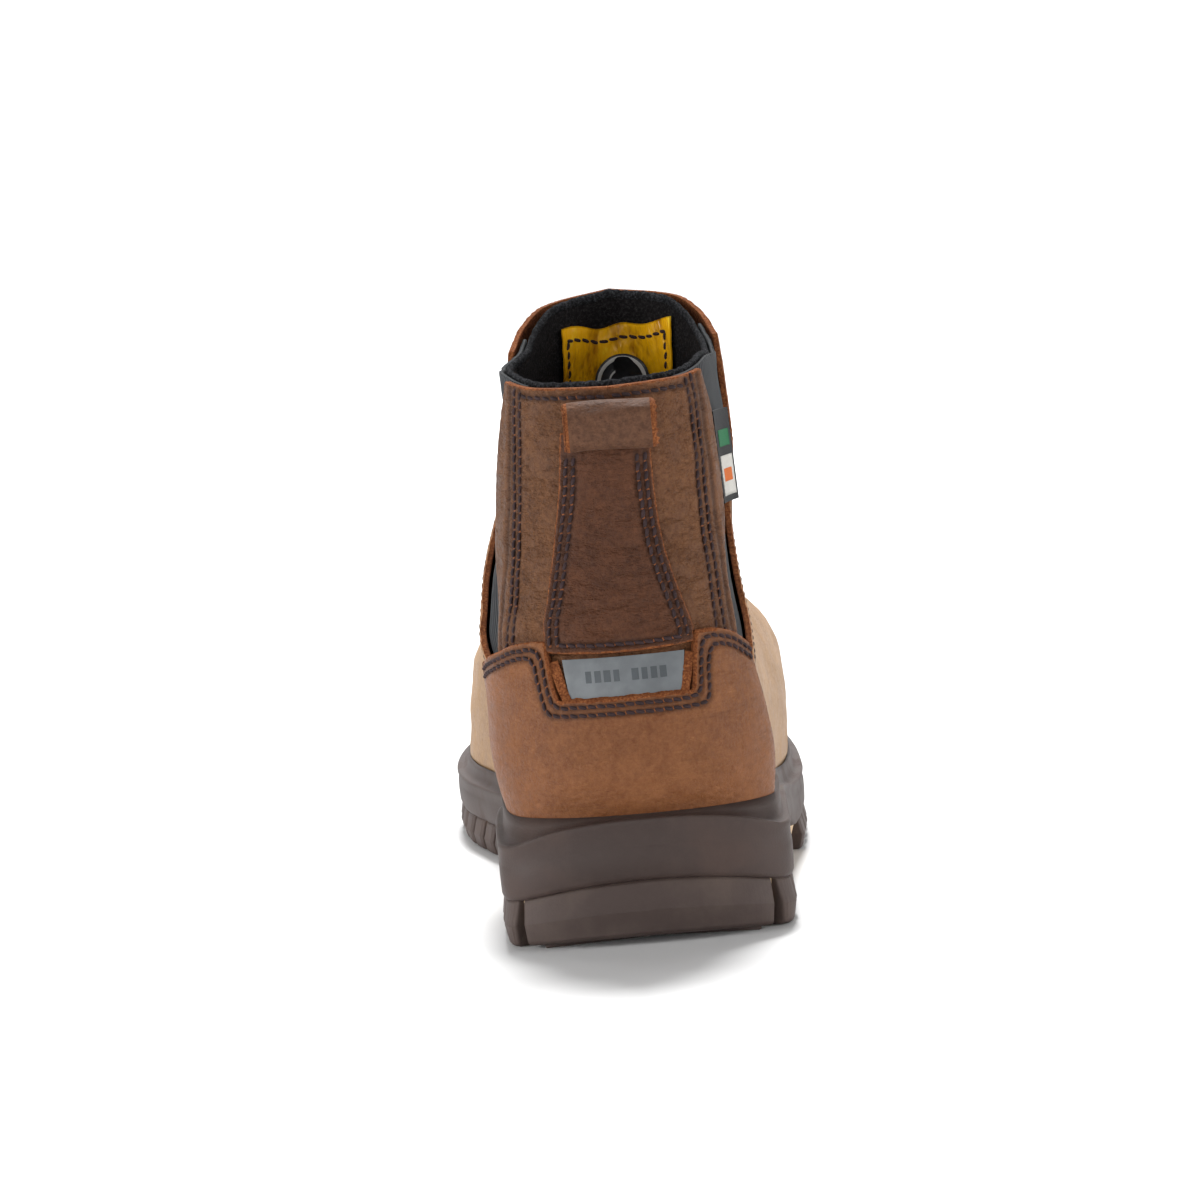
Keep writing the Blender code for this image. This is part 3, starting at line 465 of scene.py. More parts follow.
def thread_piece(group, looks):
    """One mesh of all the stitches in a group: a plump thread between needle holes, dipping in at both."""
    steps, sides = 7, 6
    u = np.linspace(0, 1, steps)
    lift = THREAD * (np.sin(np.pi * u) ** 0.6 - 0.75)
    fat = THREAD * (0.62 + 0.38 * np.sin(np.pi * u) ** 0.8)
    around = np.linspace(0, 2 * np.pi, sides, endpoint=False)
    verts, faces, which = [], [], []
    for start, stop, up in STITCHES[group]:
        up = up / np.linalg.norm(up)
        run = stop - start
        side = np.cross(run, up)
        side /= np.linalg.norm(side)
        first = len(verts)
        wobble = RNG.normal(size=2)[0] * 0.06
        for k in range(steps):
            across = SLANT * (u[k] - 0.5) + wobble
            middle = start + run * (0.97 * u[k] + 0.015) + up * lift[k] + side * across
            for angle in around:
                verts.append(middle + side * math.cos(angle) * fat[k] + up * math.sin(angle) * fat[k] * 0.8)
        tube = grid_faces(steps, sides, closed=True) + first
        last = first + (steps - 1) * sides
        faces += [tuple(f) for f in tube]
        faces += [tuple(range(first, first + sides)), tuple(reversed(range(last, last + sides)))]
        which += [0] * (len(tube) + 2)
        hole = len(verts)
        verts.append(start - up * 0.02)
        for angle in around:
            reach = 0.26 + 0.24 * RNG.random()
            spoke = side * math.cos(angle) * 1.15 + run / np.linalg.norm(run) * math.sin(angle)
            verts.append(start + spoke * reach - up * 0.14)
        faces += [(hole, hole + 1 + i, hole + 1 + (i + 1) % sides) for i in range(sides)]
        which += [1] * sides
    return add_piece(group, np.array(verts), faces, looks, material_of=which)


# Materials ----------------------------------------------------------------------------------------------------
class Look:
    """Builds one material's nodes. Coordinates are the object's own, in metres."""

    def __init__(self, name, roughness=0.6, specular=0.5):
        self.material = bpy.data.materials.new(name)
        self.material.use_nodes = True
        self.tree = self.material.node_tree
        self.shader = self.tree.nodes["Principled BSDF"]
        self.shader.inputs["Roughness"].default_value = roughness
        self.shader.inputs["Specular IOR Level"].default_value = specular
        self.place = self.tree.nodes.new("ShaderNodeTexCoord").outputs["Object"]

    def link(self, source, target):
        self.tree.links.new(source, target)

    def noise(self, scale, detail=4.0, roughness=0.55, stretch=(1, 1, 1)):
        mapping = self.tree.nodes.new("ShaderNodeMapping")
        mapping.inputs["Scale"].default_value = stretch
        self.link(self.place, mapping.inputs["Vector"])
        node = self.tree.nodes.new("ShaderNodeTexNoise")
        node.inputs["Scale"].default_value = scale
        node.inputs["Detail"].default_value = detail
        node.inputs["Roughness"].default_value = roughness
        self.link(mapping.outputs[0], node.inputs["Vector"])
        return node.outputs["Fac"]

    def cells(self, scale):
        node = self.tree.nodes.new("ShaderNodeTexVoronoi")
        node.feature = "DISTANCE_TO_EDGE"
        node.inputs["Scale"].default_value = scale
        self.link(self.place, node.inputs["Vector"])
        return node.outputs["Distance"]

    def value(self, key):
        node = self.tree.nodes.new("ShaderNodeAttribute")
        node.attribute_name = key
        return node.outputs["Fac"]

    def axis(self, name):
        node = self.tree.nodes.new("ShaderNodeSeparateXYZ")
        self.link(self.place, node.inputs[0])
        return node.outputs[name]

    def ramp(self, source, low, high, out_low=0.0, out_high=1.0):
        node = self.tree.nodes.new("ShaderNodeMapRange")
        node.interpolation_type = "SMOOTHSTEP"
        for key, number in (("From Min", low), ("From Max", high), ("To Min", out_low), ("To Max", out_high)):
            node.inputs[key].default_value = number
        self.link(source, node.inputs["Value"])
        return node.outputs[0]

    def math(self, operation, one, two):
        node = self.tree.nodes.new("ShaderNodeMath")
        node.operation = operation
        for slot, source in enumerate((one, two)):
            if isinstance(source, (int, float)):
                node.inputs[slot].default_value = source
            else:
                self.link(source, node.inputs[slot])
        return node.outputs[0]

    def mix(self, amount, one, two):
        node = self.tree.nodes.new("ShaderNodeMix")
        node.data_type = "RGBA"
        if isinstance(amount, (int, float)):
            node.inputs[0].default_value = amount
        else:
            self.link(amount, node.inputs[0])
        for slot, source in ((6, one), (7, two)):
            if isinstance(source, tuple):
                node.inputs[slot].default_value = (*source, 1)
            else:
                self.link(source, node.inputs[slot])
        return node.outputs[2]

    def bump(self, height, distance, strength=1.0, before=None):
        node = self.tree.nodes.new("ShaderNodeBump")
        node.inputs["Strength"].default_value = strength
        node.inputs["Distance"].default_value = distance
        self.link(height, node.inputs["Height"])
        if before is not None:
            self.link(before, node.inputs["Normal"])
        return node.outputs[0]

    def done(self, colour, normal=None, roughness=None, metallic=0.0):
        if isinstance(colour, tuple):
            self.shader.inputs["Base Color"].default_value = (*colour, 1)
        else:
            self.link(colour, self.shader.inputs["Base Color"])
        if normal is not None:
            self.link(normal, self.shader.inputs["Normal"])
        if roughness is not None:
            self.link(roughness, self.shader.inputs["Roughness"])
        self.shader.inputs["Metallic"].default_value = metallic
        return self.material


def leather(name, dark, base, light, roughness=0.56, worn=0.5, wrinkle=0.3, pore=0.35, streak=0.0, upper=None):
    """Oiled leather: soft tones, pores, fine wrinkles, darker in the stitching, raw and orange at cut edges.

    upper is a second set of the three tones that the colour fades to above the ankle; paler tones below it then stand
    for painted side light.
    """
    look = Look(name, roughness, 0.20)
    clouds = look.ramp(look.noise(22, 5, 0.6), 0.30, 0.72)
    if upper is not None:
        # Painted light: with upper given, the paler lower tones fade out by height into the upper tones.
        height = look.math("ADD", look.axis("Z"), look.math("MULTIPLY", look.noise(14, 5, 0.6), 0.050))
        painted_light_fade = look.ramp(height, 0.088, 0.150)
        dark, base, light = (look.mix(painted_light_fade, low, high) for low, high in zip((dark, base, light), upper))
    mottle = look.ramp(look.noise(170, 7, 0.78, (1, 1, 0.8)), 0.36, 0.68)
    grain = look.ramp(look.noise(760, 4, 0.75), 0.30, 0.72)
    colour = look.mix(clouds, dark, base)
    colour = look.mix(look.math("MULTIPLY", mottle, 0.55 * worn), colour, light)
    colour = look.mix(look.math("MULTIPLY", grain, 0.55 * worn), colour, light)
    rubbed = look.ramp(look.noise(420, 6, 0.78, (0.6, 0.6, 1.4)), 0.56, 0.74)
    colour = look.mix(look.math("MULTIPLY", rubbed, 0.35 * worn + streak), colour, light)
    scuffs = look.ramp(look.noise(90, 6, 0.8, (0.3, 0.3, 2.6)), 0.50, 0.72)
    colour = look.mix(look.math("MULTIPLY", scuffs, streak), colour, (0.060, 0.020, 0.006))
    pores = look.ramp(look.noise(1100, 3, 0.6), 0.33, 0.44, pore, 0.0)
    colour = look.mix(pores, colour, (0.028, 0.009, 0.003))
    seam = look.ramp(look.value("seam"), 0.3, 1.7, 0.62, 0.0)
    colour = look.mix(seam, colour, (0.026, 0.009, 0.004))
    rim = look.ramp(look.value("edge"), 0.10, 0.75, 0.75, 0.0)
    rim = look.math("MULTIPLY", rim, look.ramp(look.noise(420, 4, 0.75), 0.40, 0.62, 0.12, 1.0))
    colour = look.mix(rim, colour, (0.300, 0.098, 0.032))
    normal = look.bump(look.ramp(look.cells(1100), 0.0, 0.10), 0.00016, 0.45)
    normal = look.bump(look.noise(480, 6, 0.72), 0.00055, 0.62, normal)
    folds = look.ramp(look.noise(140, 5, 0.66, (0.62, 0.62, 1.35)), 0.38, 0.60)
    normal = look.bump(folds, 0.0016, wrinkle, normal)
    normal = look.bump(look.noise(60, 4, 0.55), 0.0014, 0.25, normal)
    return look.done(colour, normal, look.ramp(mottle, 0, 1, roughness - 0.08, roughness + 0.10))


def raw_edge(name, base, dark):
    """Cut edge of leather: orange, fibrous, unpolished."""
    look = Look(name, 0.95, 0.15)
    fibre = look.noise(1700, 4, 0.7)
    patches = look.ramp(look.noise(240, 4, 0.6), 0.35, 0.7)
    colour = look.mix(look.ramp(fibre, 0.35, 0.7), dark, base)
    colour = look.mix(look.math("MULTIPLY", patches, 0.4), colour, dark)
    return look.done(colour, look.bump(fibre, 0.0004, 0.7))


def plain(name, colour, roughness=0.7, metallic=0.0, scale=500, variation=0.25, distance=0.0002, strength=0.3):
    """A material with soft variation and a fine bump."""
    look = Look(name, roughness, 0.4)
    mottled = look.ramp(look.noise(scale * 0.12, 4), 0.3, 0.7)
    dark = tuple(c * (1 - variation) for c in colour)
    light = tuple(min(1.0, c * (1 + variation)) for c in colour)
    normal = look.bump(look.noise(scale, 4), distance, strength)
    return look.done(look.mix(mottled, dark, light), normal, metallic=metallic)


def rubber(name, dark, light, roughness=0.6):
    """Moulded rubber with a fine texture and pale dust in its roughness."""
    look = Look(name, roughness, 0.3)
    dust = look.ramp(look.noise(38, 6, 0.62), 0.42, 0.78)
    colour = look.mix(dust, dark, light)
    normal = look.bump(look.cells(1100), 0.00012, 0.5)
    normal = look.bump(look.noise(160, 4), 0.0003, 0.25, normal)
    return look.done(colour, normal, look.ramp(dust, 0, 1, roughness - 0.08, roughness + 0.15))


def knit(name, dark, light):
    """Brushed knit: fuzzy, black, with pale fibres caught on it."""
    look = Look(name, 1.0, 0.08)
    fibres = look.noise(1300, 6, 0.75)
    colour = look.mix(look.ramp(fibres, 0.42, 0.75), dark, light)
    normal = look.bump(fibres, 0.0012, 0.9)
    return look.done(colour, look.bump(look.noise(240, 4), 0.0016, 0.6, normal))


def woven(name, warp, weft, scale):
    """Woven cloth: warp and weft threads crossing, from the piece's own "across" and "along" values."""
    look = Look(name, 0.8, 0.3)
    one = look.math("SINE", look.math("MULTIPLY", look.value("across"), scale), 0.0)
    two = look.math("SINE", look.math("MULTIPLY", look.value("along"), scale * 0.8), 0.0)
    weave = look.ramp(look.math("MULTIPLY", one, two), -0.6, 0.6)
    colour = look.mix(weave, warp, weft)
    colour = look.mix(look.ramp(look.noise(200, 4), 0.35, 0.75, 0.0, 0.35), colour, tuple(c * 0.55 for c in warp))
    return look.done(colour, look.bump(weave, 0.00025, 0.6))


def satin(name, dark, base, light):
    """Shiny cloth with soft upright creases."""
    look = Look(name, 0.30, 0.5)
    creases = look.noise(95, 4, 0.6, (1.6, 1.6, 0.45))
    # Painted shade: the creases' hollows are coloured darker.
    colour = look.mix(look.ramp(creases, 0.34, 0.52), dark, base)
    # Painted sheen: the creases' ridges are coloured lighter.
    colour = look.mix(look.ramp(creases, 0.58, 0.74, 0.0, 0.8), colour, light)
    normal = look.bump(look.noise(1800, 3, 0.6), 0.0001, 0.3)
    return look.done(colour, look.bump(creases, 0.003, 0.8, normal))


BROWN = leather("oiled_leather_shaft", (0.054, 0.019, 0.006), (0.093, 0.034, 0.012), (0.227, 0.103, 0.046),
                worn=0.62, wrinkle=0.55)
STAY_BROWN = leather("oiled_leather_stay", (0.032, 0.010, 0.004), (0.058, 0.019, 0.007), (0.154, 0.060, 0.028),
                     worn=0.55, wrinkle=0.5)
COUNTER_BROWN = leather("oiled_leather_counter", (0.094, 0.028, 0.008), (0.164, 0.056, 0.018),
                        (0.320, 0.138, 0.056), 0.50, 0.50, 0.25, 0.12, 0.30)
# The vamp's pale tan tones low down are painted side light; above the ankle they fade to the leather's own brown.
VAMP_WITH_PAINTED_LIGHT = leather("oiled_leather_vamp", (0.190, 0.096, 0.040), (0.300, 0.168, 0.078), (0.450, 0.300, 0.168),
                   0.52, 0.75, 0.2, 0.15, upper=((0.075, 0.027, 0.009), (0.128, 0.049, 0.018), (0.260, 0.120, 0.055)))
LOOP_BROWN = leather("pull_loop_leather", (0.036, 0.013, 0.006), (0.058, 0.023, 0.011), (0.180, 0.088, 0.050),
                     0.70, 0.75, 0.35)
RAW = raw_edge("raw_leather_edge", (0.300, 0.105, 0.036), (0.095, 0.028, 0.010))
DARK_RAW = raw_edge("dark_leather_edge", (0.14, 0.045, 0.022), (0.050, 0.018, 0.012))
SUEDE = plain("suede_side", (0.30, 0.13, 0.055), 0.95, scale=900, distance=0.0005, strength=0.6)
THREAD_LOOK = plain("thread", (0.027, 0.013, 0.014), 0.85, scale=2600, distance=0.0002, strength=0.5)
HOLE_LOOK = plain("needle_hole", (0.150, 0.048, 0.016), 0.95, scale=900, variation=0.5)
LINING_LOOK = knit("knitted_lining", (0.008, 0.007, 0.0075), (0.040, 0.037, 0.037))
BINDING_LOOK = knit("collar_binding_cloth", (0.008, 0.008, 0.009), (0.075, 0.077, 0.084))
MIDSOLE_LOOK = rubber("dark_midsole_rubber", (0.042, 0.027, 0.023), (0.067, 0.044, 0.037), 0.62)
TREAD_LOOK = rubber("outsole_rubber", (0.054, 0.036, 0.031), (0.093, 0.068, 0.058), 0.68)
CREAM = plain("cream_foam", (0.66, 0.49, 0.32), 0.75, scale=900, variation=0.12)
PATCH_LOOK = plain("reflective_tape", (0.122, 0.132, 0.140), 0.38, scale=1500, variation=0.12, distance=0.0001)
PATCH_MARK = plain("reflective_tape_mark", (0.060, 0.068, 0.075), 0.5, scale=1200, variation=0.1)
# The label's dark and light tones are painted crease shade and painted sheen round its own yellow.
SATIN_WITH_PAINTED_SHEEN = satin("label_satin", (0.32, 0.120, 0.002), (0.78, 0.390, 0.004), (1.0, 0.78, 0.06))
TAG_BLACK = woven("tag_cloth", (0.012, 0.012, 0.013), (0.028, 0.028, 0.030), 6.0)
TAG_GREEN = woven("tag_green_cloth", (0.010, 0.150, 0.055), (0.016, 0.105, 0.042), 6.0)
TAG_WHITE = woven("tag_white_cloth", (0.62, 0.60, 0.56), (0.42, 0.41, 0.38), 6.0)
TAG_ORANGE = woven("tag_orange_cloth", (0.62, 0.14, 0.016), (0.46, 0.095, 0.012), 6.0)
BADGE_DARK = plain("badge_disc", (0.022, 0.022, 0.024), 0.5, scale=900)
BADGE_RING = plain("badge_ring", (0.58, 0.57, 0.55), 0.45, 0.0, scale=900, variation=0.1)
STEEL_LOOK = plain("pressed_steel", (0.46, 0.47, 0.49), 0.35, 1.0, scale=300, variation=0.12, distance=0.0001)
BOARD_LOOK = plain("fibre_board", (0.46, 0.34, 0.21), 0.9, scale=900, variation=0.2)
BEAD_LOOK = rubber("toe_cap_bead_rubber", (0.02, 0.02, 0.02), (0.05, 0.05, 0.05))
FOAM_LOOK = plain("footbed_foam", (0.030, 0.030, 0.034), 0.85, scale=1400, distance=0.0003, strength=0.6)
FOOTBED_LOOK = knit("footbed_top_cloth", (0.018, 0.018, 0.020), (0.060, 0.058, 0.058))


def elastic_look():
    """Ribbed elastic: cords along the "along" value, flat cloth between them."""
    look = Look("ribbed_elastic", 0.85, 0.25)
    ribs = look.math("SINE", look.math("MULTIPLY", look.value("along"), 6.2832 / 1.7), 0.0)
    threads = look.math("SINE", look.math("MULTIPLY", look.value("across"), 6.2832 / 0.55), 0.0)
    rib = look.ramp(ribs, -0.9, 0.8)
    # Painted shade: the cloth between the cords is coloured darker and the cords lighter, following the rib bump.
    colour = look.mix(rib, (0.012, 0.013, 0.014), (0.044, 0.047, 0.051))
    colour = look.mix(look.ramp(threads, -0.5, 1.0, 0.0, 0.35), colour, (0.022, 0.024, 0.026))
    return look.done(colour, look.bump(rib, 0.0004, 0.8))


ELASTIC = elastic_look()


# Upper --------------------------------------------------------------------------------------------------------
def sole_z(s, z):
    """Height of the sole line under chart positions."""
    a, _ = CHART.av(s, z)
    return curve(SOLE_LINE, upper_point(a, np.zeros_like(a))[..., 1])


def creases(points):
    """Soft dents and folds of worn leather, in millimetres."""
    folds = lumps(points * np.array([1, 1, 2.4]), 34, 5)
    return 0.32 * folds + 0.14 * lumps(points, 13, 6) + 0.07 * lumps(points * np.array([1, 1, 3.0]), 6, 8)


def chart_panel(name, s, z, layer, looks, **more):
    a, v = CHART.av(s, z)
    return panel(name, a, v, layer, looks, **more)


def row_line(table, side, low, high, depth, shift=0.0):
    z = np.arange(low, high, 1.0)
    return chart_line(side * (curve(table, z) + shift), z, depth)


def collar_row(side, s_from, s_to, drop, depth):
    s = side * np.linspace(s_from, s_to, 60)
    z = np.full_like(s, 148.0)
    for _ in range(4):
        z = collar_z(s, z) - drop
    return chart_line(s, z, depth)


def quarter(side):
    """Rear side panel of the shaft, from the middle of the back to the elastic."""
    word = "lateral" if side > 0 else "medial"
    s, z = chart_grid(lambda z: np.full_like(z, side * 0.03), lambda z: CHART.edge(QUARTER_EDGES[side], z, side),
                      sole_z, collar_z, edged(64, 46), edged(120, 117))
    depth = LEATHER[0]
    rows = [row_line(table, side, 70, high, depth) for table, high in zip(SEAM_ROWS[side], (147.5, 146.5))]
    faint = row_line(FAINT_ROWS[side], side, 72, 148, depth - 0.15)
    collar = collar_row(side, 0.8, SEAM_ROWS[side][1][-1][1] - 0.3, 2.4, depth)
    for line in rows + [collar]:
        stitch("shaft_stitching", line)
    chart_panel("quarter_" + word, s, z, LEATHER, [BROWN, RAW], replaces=["quarter_" + word],
                rows=[line[0] for line in rows + [faint, collar]], relief=creases, fuzz=0.25, raw=0.3,
                joined=lambda p: (np.abs(p[:, 0] - AXIS_X) < 3.2) & (p[:, 2] < 145.2) & (p[:, 1] < -120))


def back_stay():
    """Strip over the back seam, wider at its foot."""
    t = edged(96, STAY_HEAD - STAY_FOOT)
    grid_f, grid_t = np.meshgrid(edged(56, 34), t)
    z = STAY_FOOT + (STAY_HEAD - STAY_FOOT) * grid_t
    left, right = -curve(STAY_EDGES[-1], z), curve(STAY_EDGES[1], z)
    s = left + (right - left) * grid_f
    z = z + 0.9 * (np.abs(grid_f - 0.5) * 2) ** 2 * (1 - grid_t)
    depth = OVERLAY[0]
    rows = []
    for side in (-1, 1):
        for shift in (-1.7, -3.7):
            rows.append(row_line(STAY_EDGES[side], side, STAY_FOOT + 2.6, LOOP_FOOT_Z - 0.6, depth, shift))
    across = np.linspace(-16.6, 14.9, 60)
    rows.append(chart_line(across, np.full(60, STAY_FOOT + 2.0) + 0.9 * (across / 20) ** 2, depth))
    for line in rows:
        stitch("stay_stitching", line)
    chart_panel("back_stay", s, z, OVERLAY, [STAY_BROWN, RAW], replaces=["back_stay"],
                rows=[line[0] for line in rows], relief=lambda p: 0.7 * creases(p), fuzz=0.3, raw=0.32)


def counter_top(s, inset=0.0):
    """Height of the counter's edge, with the cut-out at the back. inset moves the outline into the leather."""
    top = np.where(s < 0, curve(COUNTER_TOPS[-1], np.abs(s)), curve(COUNTER_TOPS[1], np.abs(s))) - inset
    foot = np.where(s < 0, CUT_WALLS[-1][0], CUT_WALLS[1][0]) + inset
    head = np.where(s < 0, CUT_WALLS[-1][1], CUT_WALLS[1][1]) + inset
    return CUT_BOTTOM - inset + (top - CUT_BOTTOM + inset) * smoothstep(foot, head, np.abs(s))


def rounded(line):
    """The polyline with its corners softened by a running mean of five points, twice."""
    for _ in range(2):
        padded = np.concatenate([line[:1].repeat(2, 0), line, line[-1:].repeat(2, 0)])
        line = np.stack([np.convolve(padded[:, i], np.ones(5) / 5, "valid") for i in range(2)], axis=1)
    return line


def counter_row(inset, s_left, s_right):
    """Chart line that follows the counter's top edge at a distance inside it."""
    s = np.concatenate([np.linspace(s_left, -22, 30), np.linspace(-21.9, 21.9, 400), np.linspace(22, s_right, 20)])
    path = resample(np.stack([s, counter_top(s, inset)], axis=1), 0.7)
    return rounded(path)


def window_raw(points):
    """The cut edge shows wider round the cut-out than along the rest of the counter."""
    x, z = np.abs(points[..., 0] - AXIS_X), points[..., 2]
    near_front = points[..., 1] > np.where(points[..., 0] > AXIS_X, -127.0, -111.0)
    return np.where((x < 23) & (z > CUT_BOTTOM - 4), 0.95, np.where(near_front, 0.7, 0.34))


def heel_counter():
    """Outer heel counter, with the cut-out for the patch in its top edge."""
    walls = [np.arange(lo - 0.6, hi + 1.4, 0.22) for lo, hi in CUT_WALLS.values()]
    far = {side: abs(float(CHART.edge(COUNTER_EDGES[side], np.array([60.0]), side)[0])) for side in (-1, 1)}
    parts = [-(far[-1]) + np.array([0, 0.12, 0.4, 0.9]), -np.arange(far[-1] - 1.9, 22.3, -0.95),
             -walls[0][::-1], np.arange(-16.4, 15.2, 0.8), walls[1], np.arange(20.8, far[1] - 1.4, 0.9),
             far[1] - np.array([0.9, 0.4, 0.12, 0])]
    columns = np.unique(np.round(np.concatenate(parts), 3))
    t = edged(64, 40)
    grid_s, grid_t = np.meshgrid(columns, t)
    s, z = grid_s.copy(), 33 + 40 * grid_t
    for _ in range(6):
        stretch = {side: np.abs(CHART.edge(COUNTER_EDGES[side], z, side)) / far[side] for side in (-1, 1)}
        ease = np.clip((np.abs(grid_s) - 22) / 12, 0, 1)
        s = grid_s * (1 + (np.where(grid_s < 0, stretch[-1], stretch[1]) - 1) * ease)
        low = sole_z(s, z)
        z = low + (counter_top(s) - low) * grid_t
    depth = OVERLAY[0] + 0.25
    rows = []
    for inset in (1.9, 3.9):
        path = counter_row(inset, -far[-1] + 3, far[1] - 2.5)
        rows.append(chart_line(path[:, 0], path[:, 1], depth))
        stitch("counter_stitching", rows[-1])
    made = chart_panel("heel_counter", s, z, (depth, 1.85), [COUNTER_BROWN, RAW, DARK_RAW],
                       replaces=["heel_counter"], rows=[line[0] for line in rows],
                       relief=lambda p: 0.5 * creases(p), fuzz=0.35, raw=window_raw)
    for face in made.data.polygons:      # the upright front edges take the dark edge colour
        x, y, z = face.center / MM
        if face.material_index == 1 and z < 74 and y > (-127.0 if x > AXIS_X else -111.0):
            face.material_index = 2


def cut_out_edge():
    """Skived raw leather round the cut-out, sloping from the counter's edge down onto the patch."""
    rows = []
    for share in np.linspace(0, 1, 6):
        s = np.concatenate([np.linspace(-19.9, -14.5, 40), np.linspace(-14.3, 13.2, 60), np.linspace(13.4, 18.1, 36)])
        wide = np.where(s < 0, 2.2, 1.9) * share
        foot = np.where(s < 0, CUT_WALLS[-1][0], CUT_WALLS[1][0])
        head = np.where(s < 0, CUT_WALLS[-1][1], CUT_WALLS[1][1])
        size = np.abs(s) / foot * (foot - wide * smoothstep(0.6, 1.0, np.abs(s) / foot))
        z = CUT_BOTTOM - 0.3 + 0.7 * share + (PATCH_Z[1] - CUT_BOTTOM) * smoothstep(foot * 0.93, head, np.abs(s))
        s = np.sign(s) * size
        wander = 0.25 * share * lumps(np.stack([s, z, 0 * z], axis=1), 3.5, 95)
        points, normals = CHART.points(s, z + wander, 2.05 - 0.85 * share + 0 * z)
        rows.append(points + normals * 0.12 * lumps(points, 0.9, 96)[:, None])
    faces = grid_faces(len(rows), len(rows[0]))
    add_piece("cut_out_edge", np.concatenate(rows), faces, [RAW])


def reflective_patch():
    """Grey reflective patch, with eight plain bars where the real one has text."""
    grid_f, grid_t = np.meshgrid(np.linspace(-1, 1, 40), np.linspace(0, 1, 16))
    z = PATCH_Z[0] + (PATCH_Z[1] - PATCH_Z[0]) * grid_t - 0.2
    s = curve(PATCH_EDGE, z) * grid_f * 1.01 - 0.3
    chart_panel("reflective_patch", s, z, (1.2, 0.8), [PATCH_LOOK, PATCH_LOOK], replaces=["reflective_patch"],
                round_edge=0.25, fuzz=0.02, groove=0.0)
    verts, faces = [], []
    for k in range(9):
        middle, wide, tall = -9.6 + 2.4 * k, 0.75, 1.5
        if k == 4:
            continue
        corner_s = middle + wide * np.array([-1, 1, 1, -1]) * (1 + 0.1 * (k % 3))
        corner_z = 70.6 + tall * np.array([-1, -1, 1, 1])
        first = len(verts)
        low, normals = CHART.points(corner_s, corner_z, np.full(4, 1.15))
        verts += list(low) + list(low + normals * 0.1)
        faces += [tuple(first + i for i in q) for q in ((4, 5, 6, 7), (3, 2, 1, 0), (0, 1, 5, 4), (1, 2, 6, 5),
                                                        (2, 3, 7, 6), (3, 0, 4, 7))]
    add_piece("patch_marks", np.array(verts), faces, [PATCH_MARK], smooth=False)


def vamp():
    """Front of the boot: one piece from the toe to the front of the collar."""
    b, t, near = np.linspace(-1, 1, 260), edged(120, 130), np.array([0.0006, 0.002, 0.0045])
    b = np.unique(np.concatenate([b, 1 - near, -1 + near]))
    grid_b, grid_t = np.meshgrid(b, t)
    v, a = grid_t.copy(), np.where(grid_b < 0, -0.8, 0.8)
    rank = np.where(grid_b < 0, -1, 1)
    for _ in range(9):
        z = upper_point(a, v)[..., 2]
        y = np.where(grid_b < 0, curve(VAMP_EDGES[-1], z), curve(VAMP_EDGES[1], z))
        edge_a = np.abs(a_at_y(y, v, 1))
        a = rank * (1 - (1 - edge_a) * np.abs(grid_b))
        v = grid_t * v_collar(a)
    a = np.where(np.abs(grid_b) < 1e-9, 1.0, a)
    rows = []
    for side in (-1, 1):
        z = np.arange(68, 153, 1.0)
        s = CHART.edge(VAMP_EDGES[side], z, side) + side * 3.0
        rows.append(chart_line(s, z, LEATHER[0] - 0.2))
        stitch("front_stitching", rows[-1])
    s = np.linspace(0.74, 1, 70)
    around = np.concatenate([-s, s[::-1]])
    v_row = v_at_z(curve(COLLAR_LINE, np.abs(around)) - 2.4, around)
    line = (upper_point(around, v_row) + upper_normal(around, v_row) * LEATHER[0], upper_normal(around, v_row))
    rows.append(line)
    stitch("front_stitching", line)
    panel("vamp", a, v, LEATHER, [VAMP_WITH_PAINTED_LIGHT, RAW], replaces=["vamp"], rows=[line[0] for line in rows],
          relief=creases, fuzz=0.2)


def gore(side):
    """Ribbed elastic panel between a quarter and the vamp, tucked under both."""
    word = "lateral" if side > 0 else "medial"
    rear = lambda z: CHART.edge([(q, y - 7) for q, y in QUARTER_EDGES[side]], z, side)
    front = lambda z: CHART.edge([(q, y + 7) for q, y in VAMP_EDGES[side]], z, side)
    s, z = chart_grid(rear, front, lambda s, z: np.full_like(s, GORE_BOTTOM), lambda s, z: collar_z(s, z) - 0.3,
                      np.linspace(0, 1, 70), np.linspace(0, 1, 90))
    a, v = CHART.av(s, z)
    bulge = lambda p: 0.25 * lumps(p, 18, 40)
    made = panel("gore_" + word, a, v, INNER, [ELASTIC, ELASTIC], replaces=["gore_" + word], relief=bulge,
                 fuzz=0.03, round_edge=0.5)
    sheet_values(made, s, z)
    return made


def sheet_values(made, along, across):
    """Distances along and across a grid piece, as point values for woven and ribbed looks."""
    for key, values in (("along", along), ("across", across)):
        padded = np.zeros(len(made.data.vertices), dtype=np.float32)
        flat = np.asarray(values, dtype=np.float32).ravel()
        padded[:len(flat)] = flat
        padded[len(flat):2 * len(flat)] = flat
        made.data.attributes.new(key, "FLOAT", "POINT").data.foreach_set("value", padded)


def linings():
    """Knitted lining, front and rear, meeting at a seam on each side."""
    made = []
    for name, is_front in (("lining_front", True), ("lining_rear", False)):
        grid_b, grid_t = np.meshgrid(np.linspace(-1, 1, 130), np.linspace(0, 1, 60))
        v, a = grid_t.copy(), np.where(grid_b < 0, -0.8, 0.8)
        seam = LINING_SEAM_Y + (0.5 if is_front else -0.5)
        for _ in range(8):
            edge_a = np.abs(a_at_y(seam + 0 * v, v, 1))
            a = np.where(grid_b < 0, -1, 1) * (1 - (1 - edge_a) * np.abs(grid_b) if is_front
                                               else edge_a * np.abs(grid_b))
            v = grid_t * (v_collar(a) - 0.008)
        made.append(panel(name, a, v, LINING, [LINING_LOOK, LINING_LOOK], replaces=[name], fuzz=0.02,
                          round_edge=0.4))
    return made


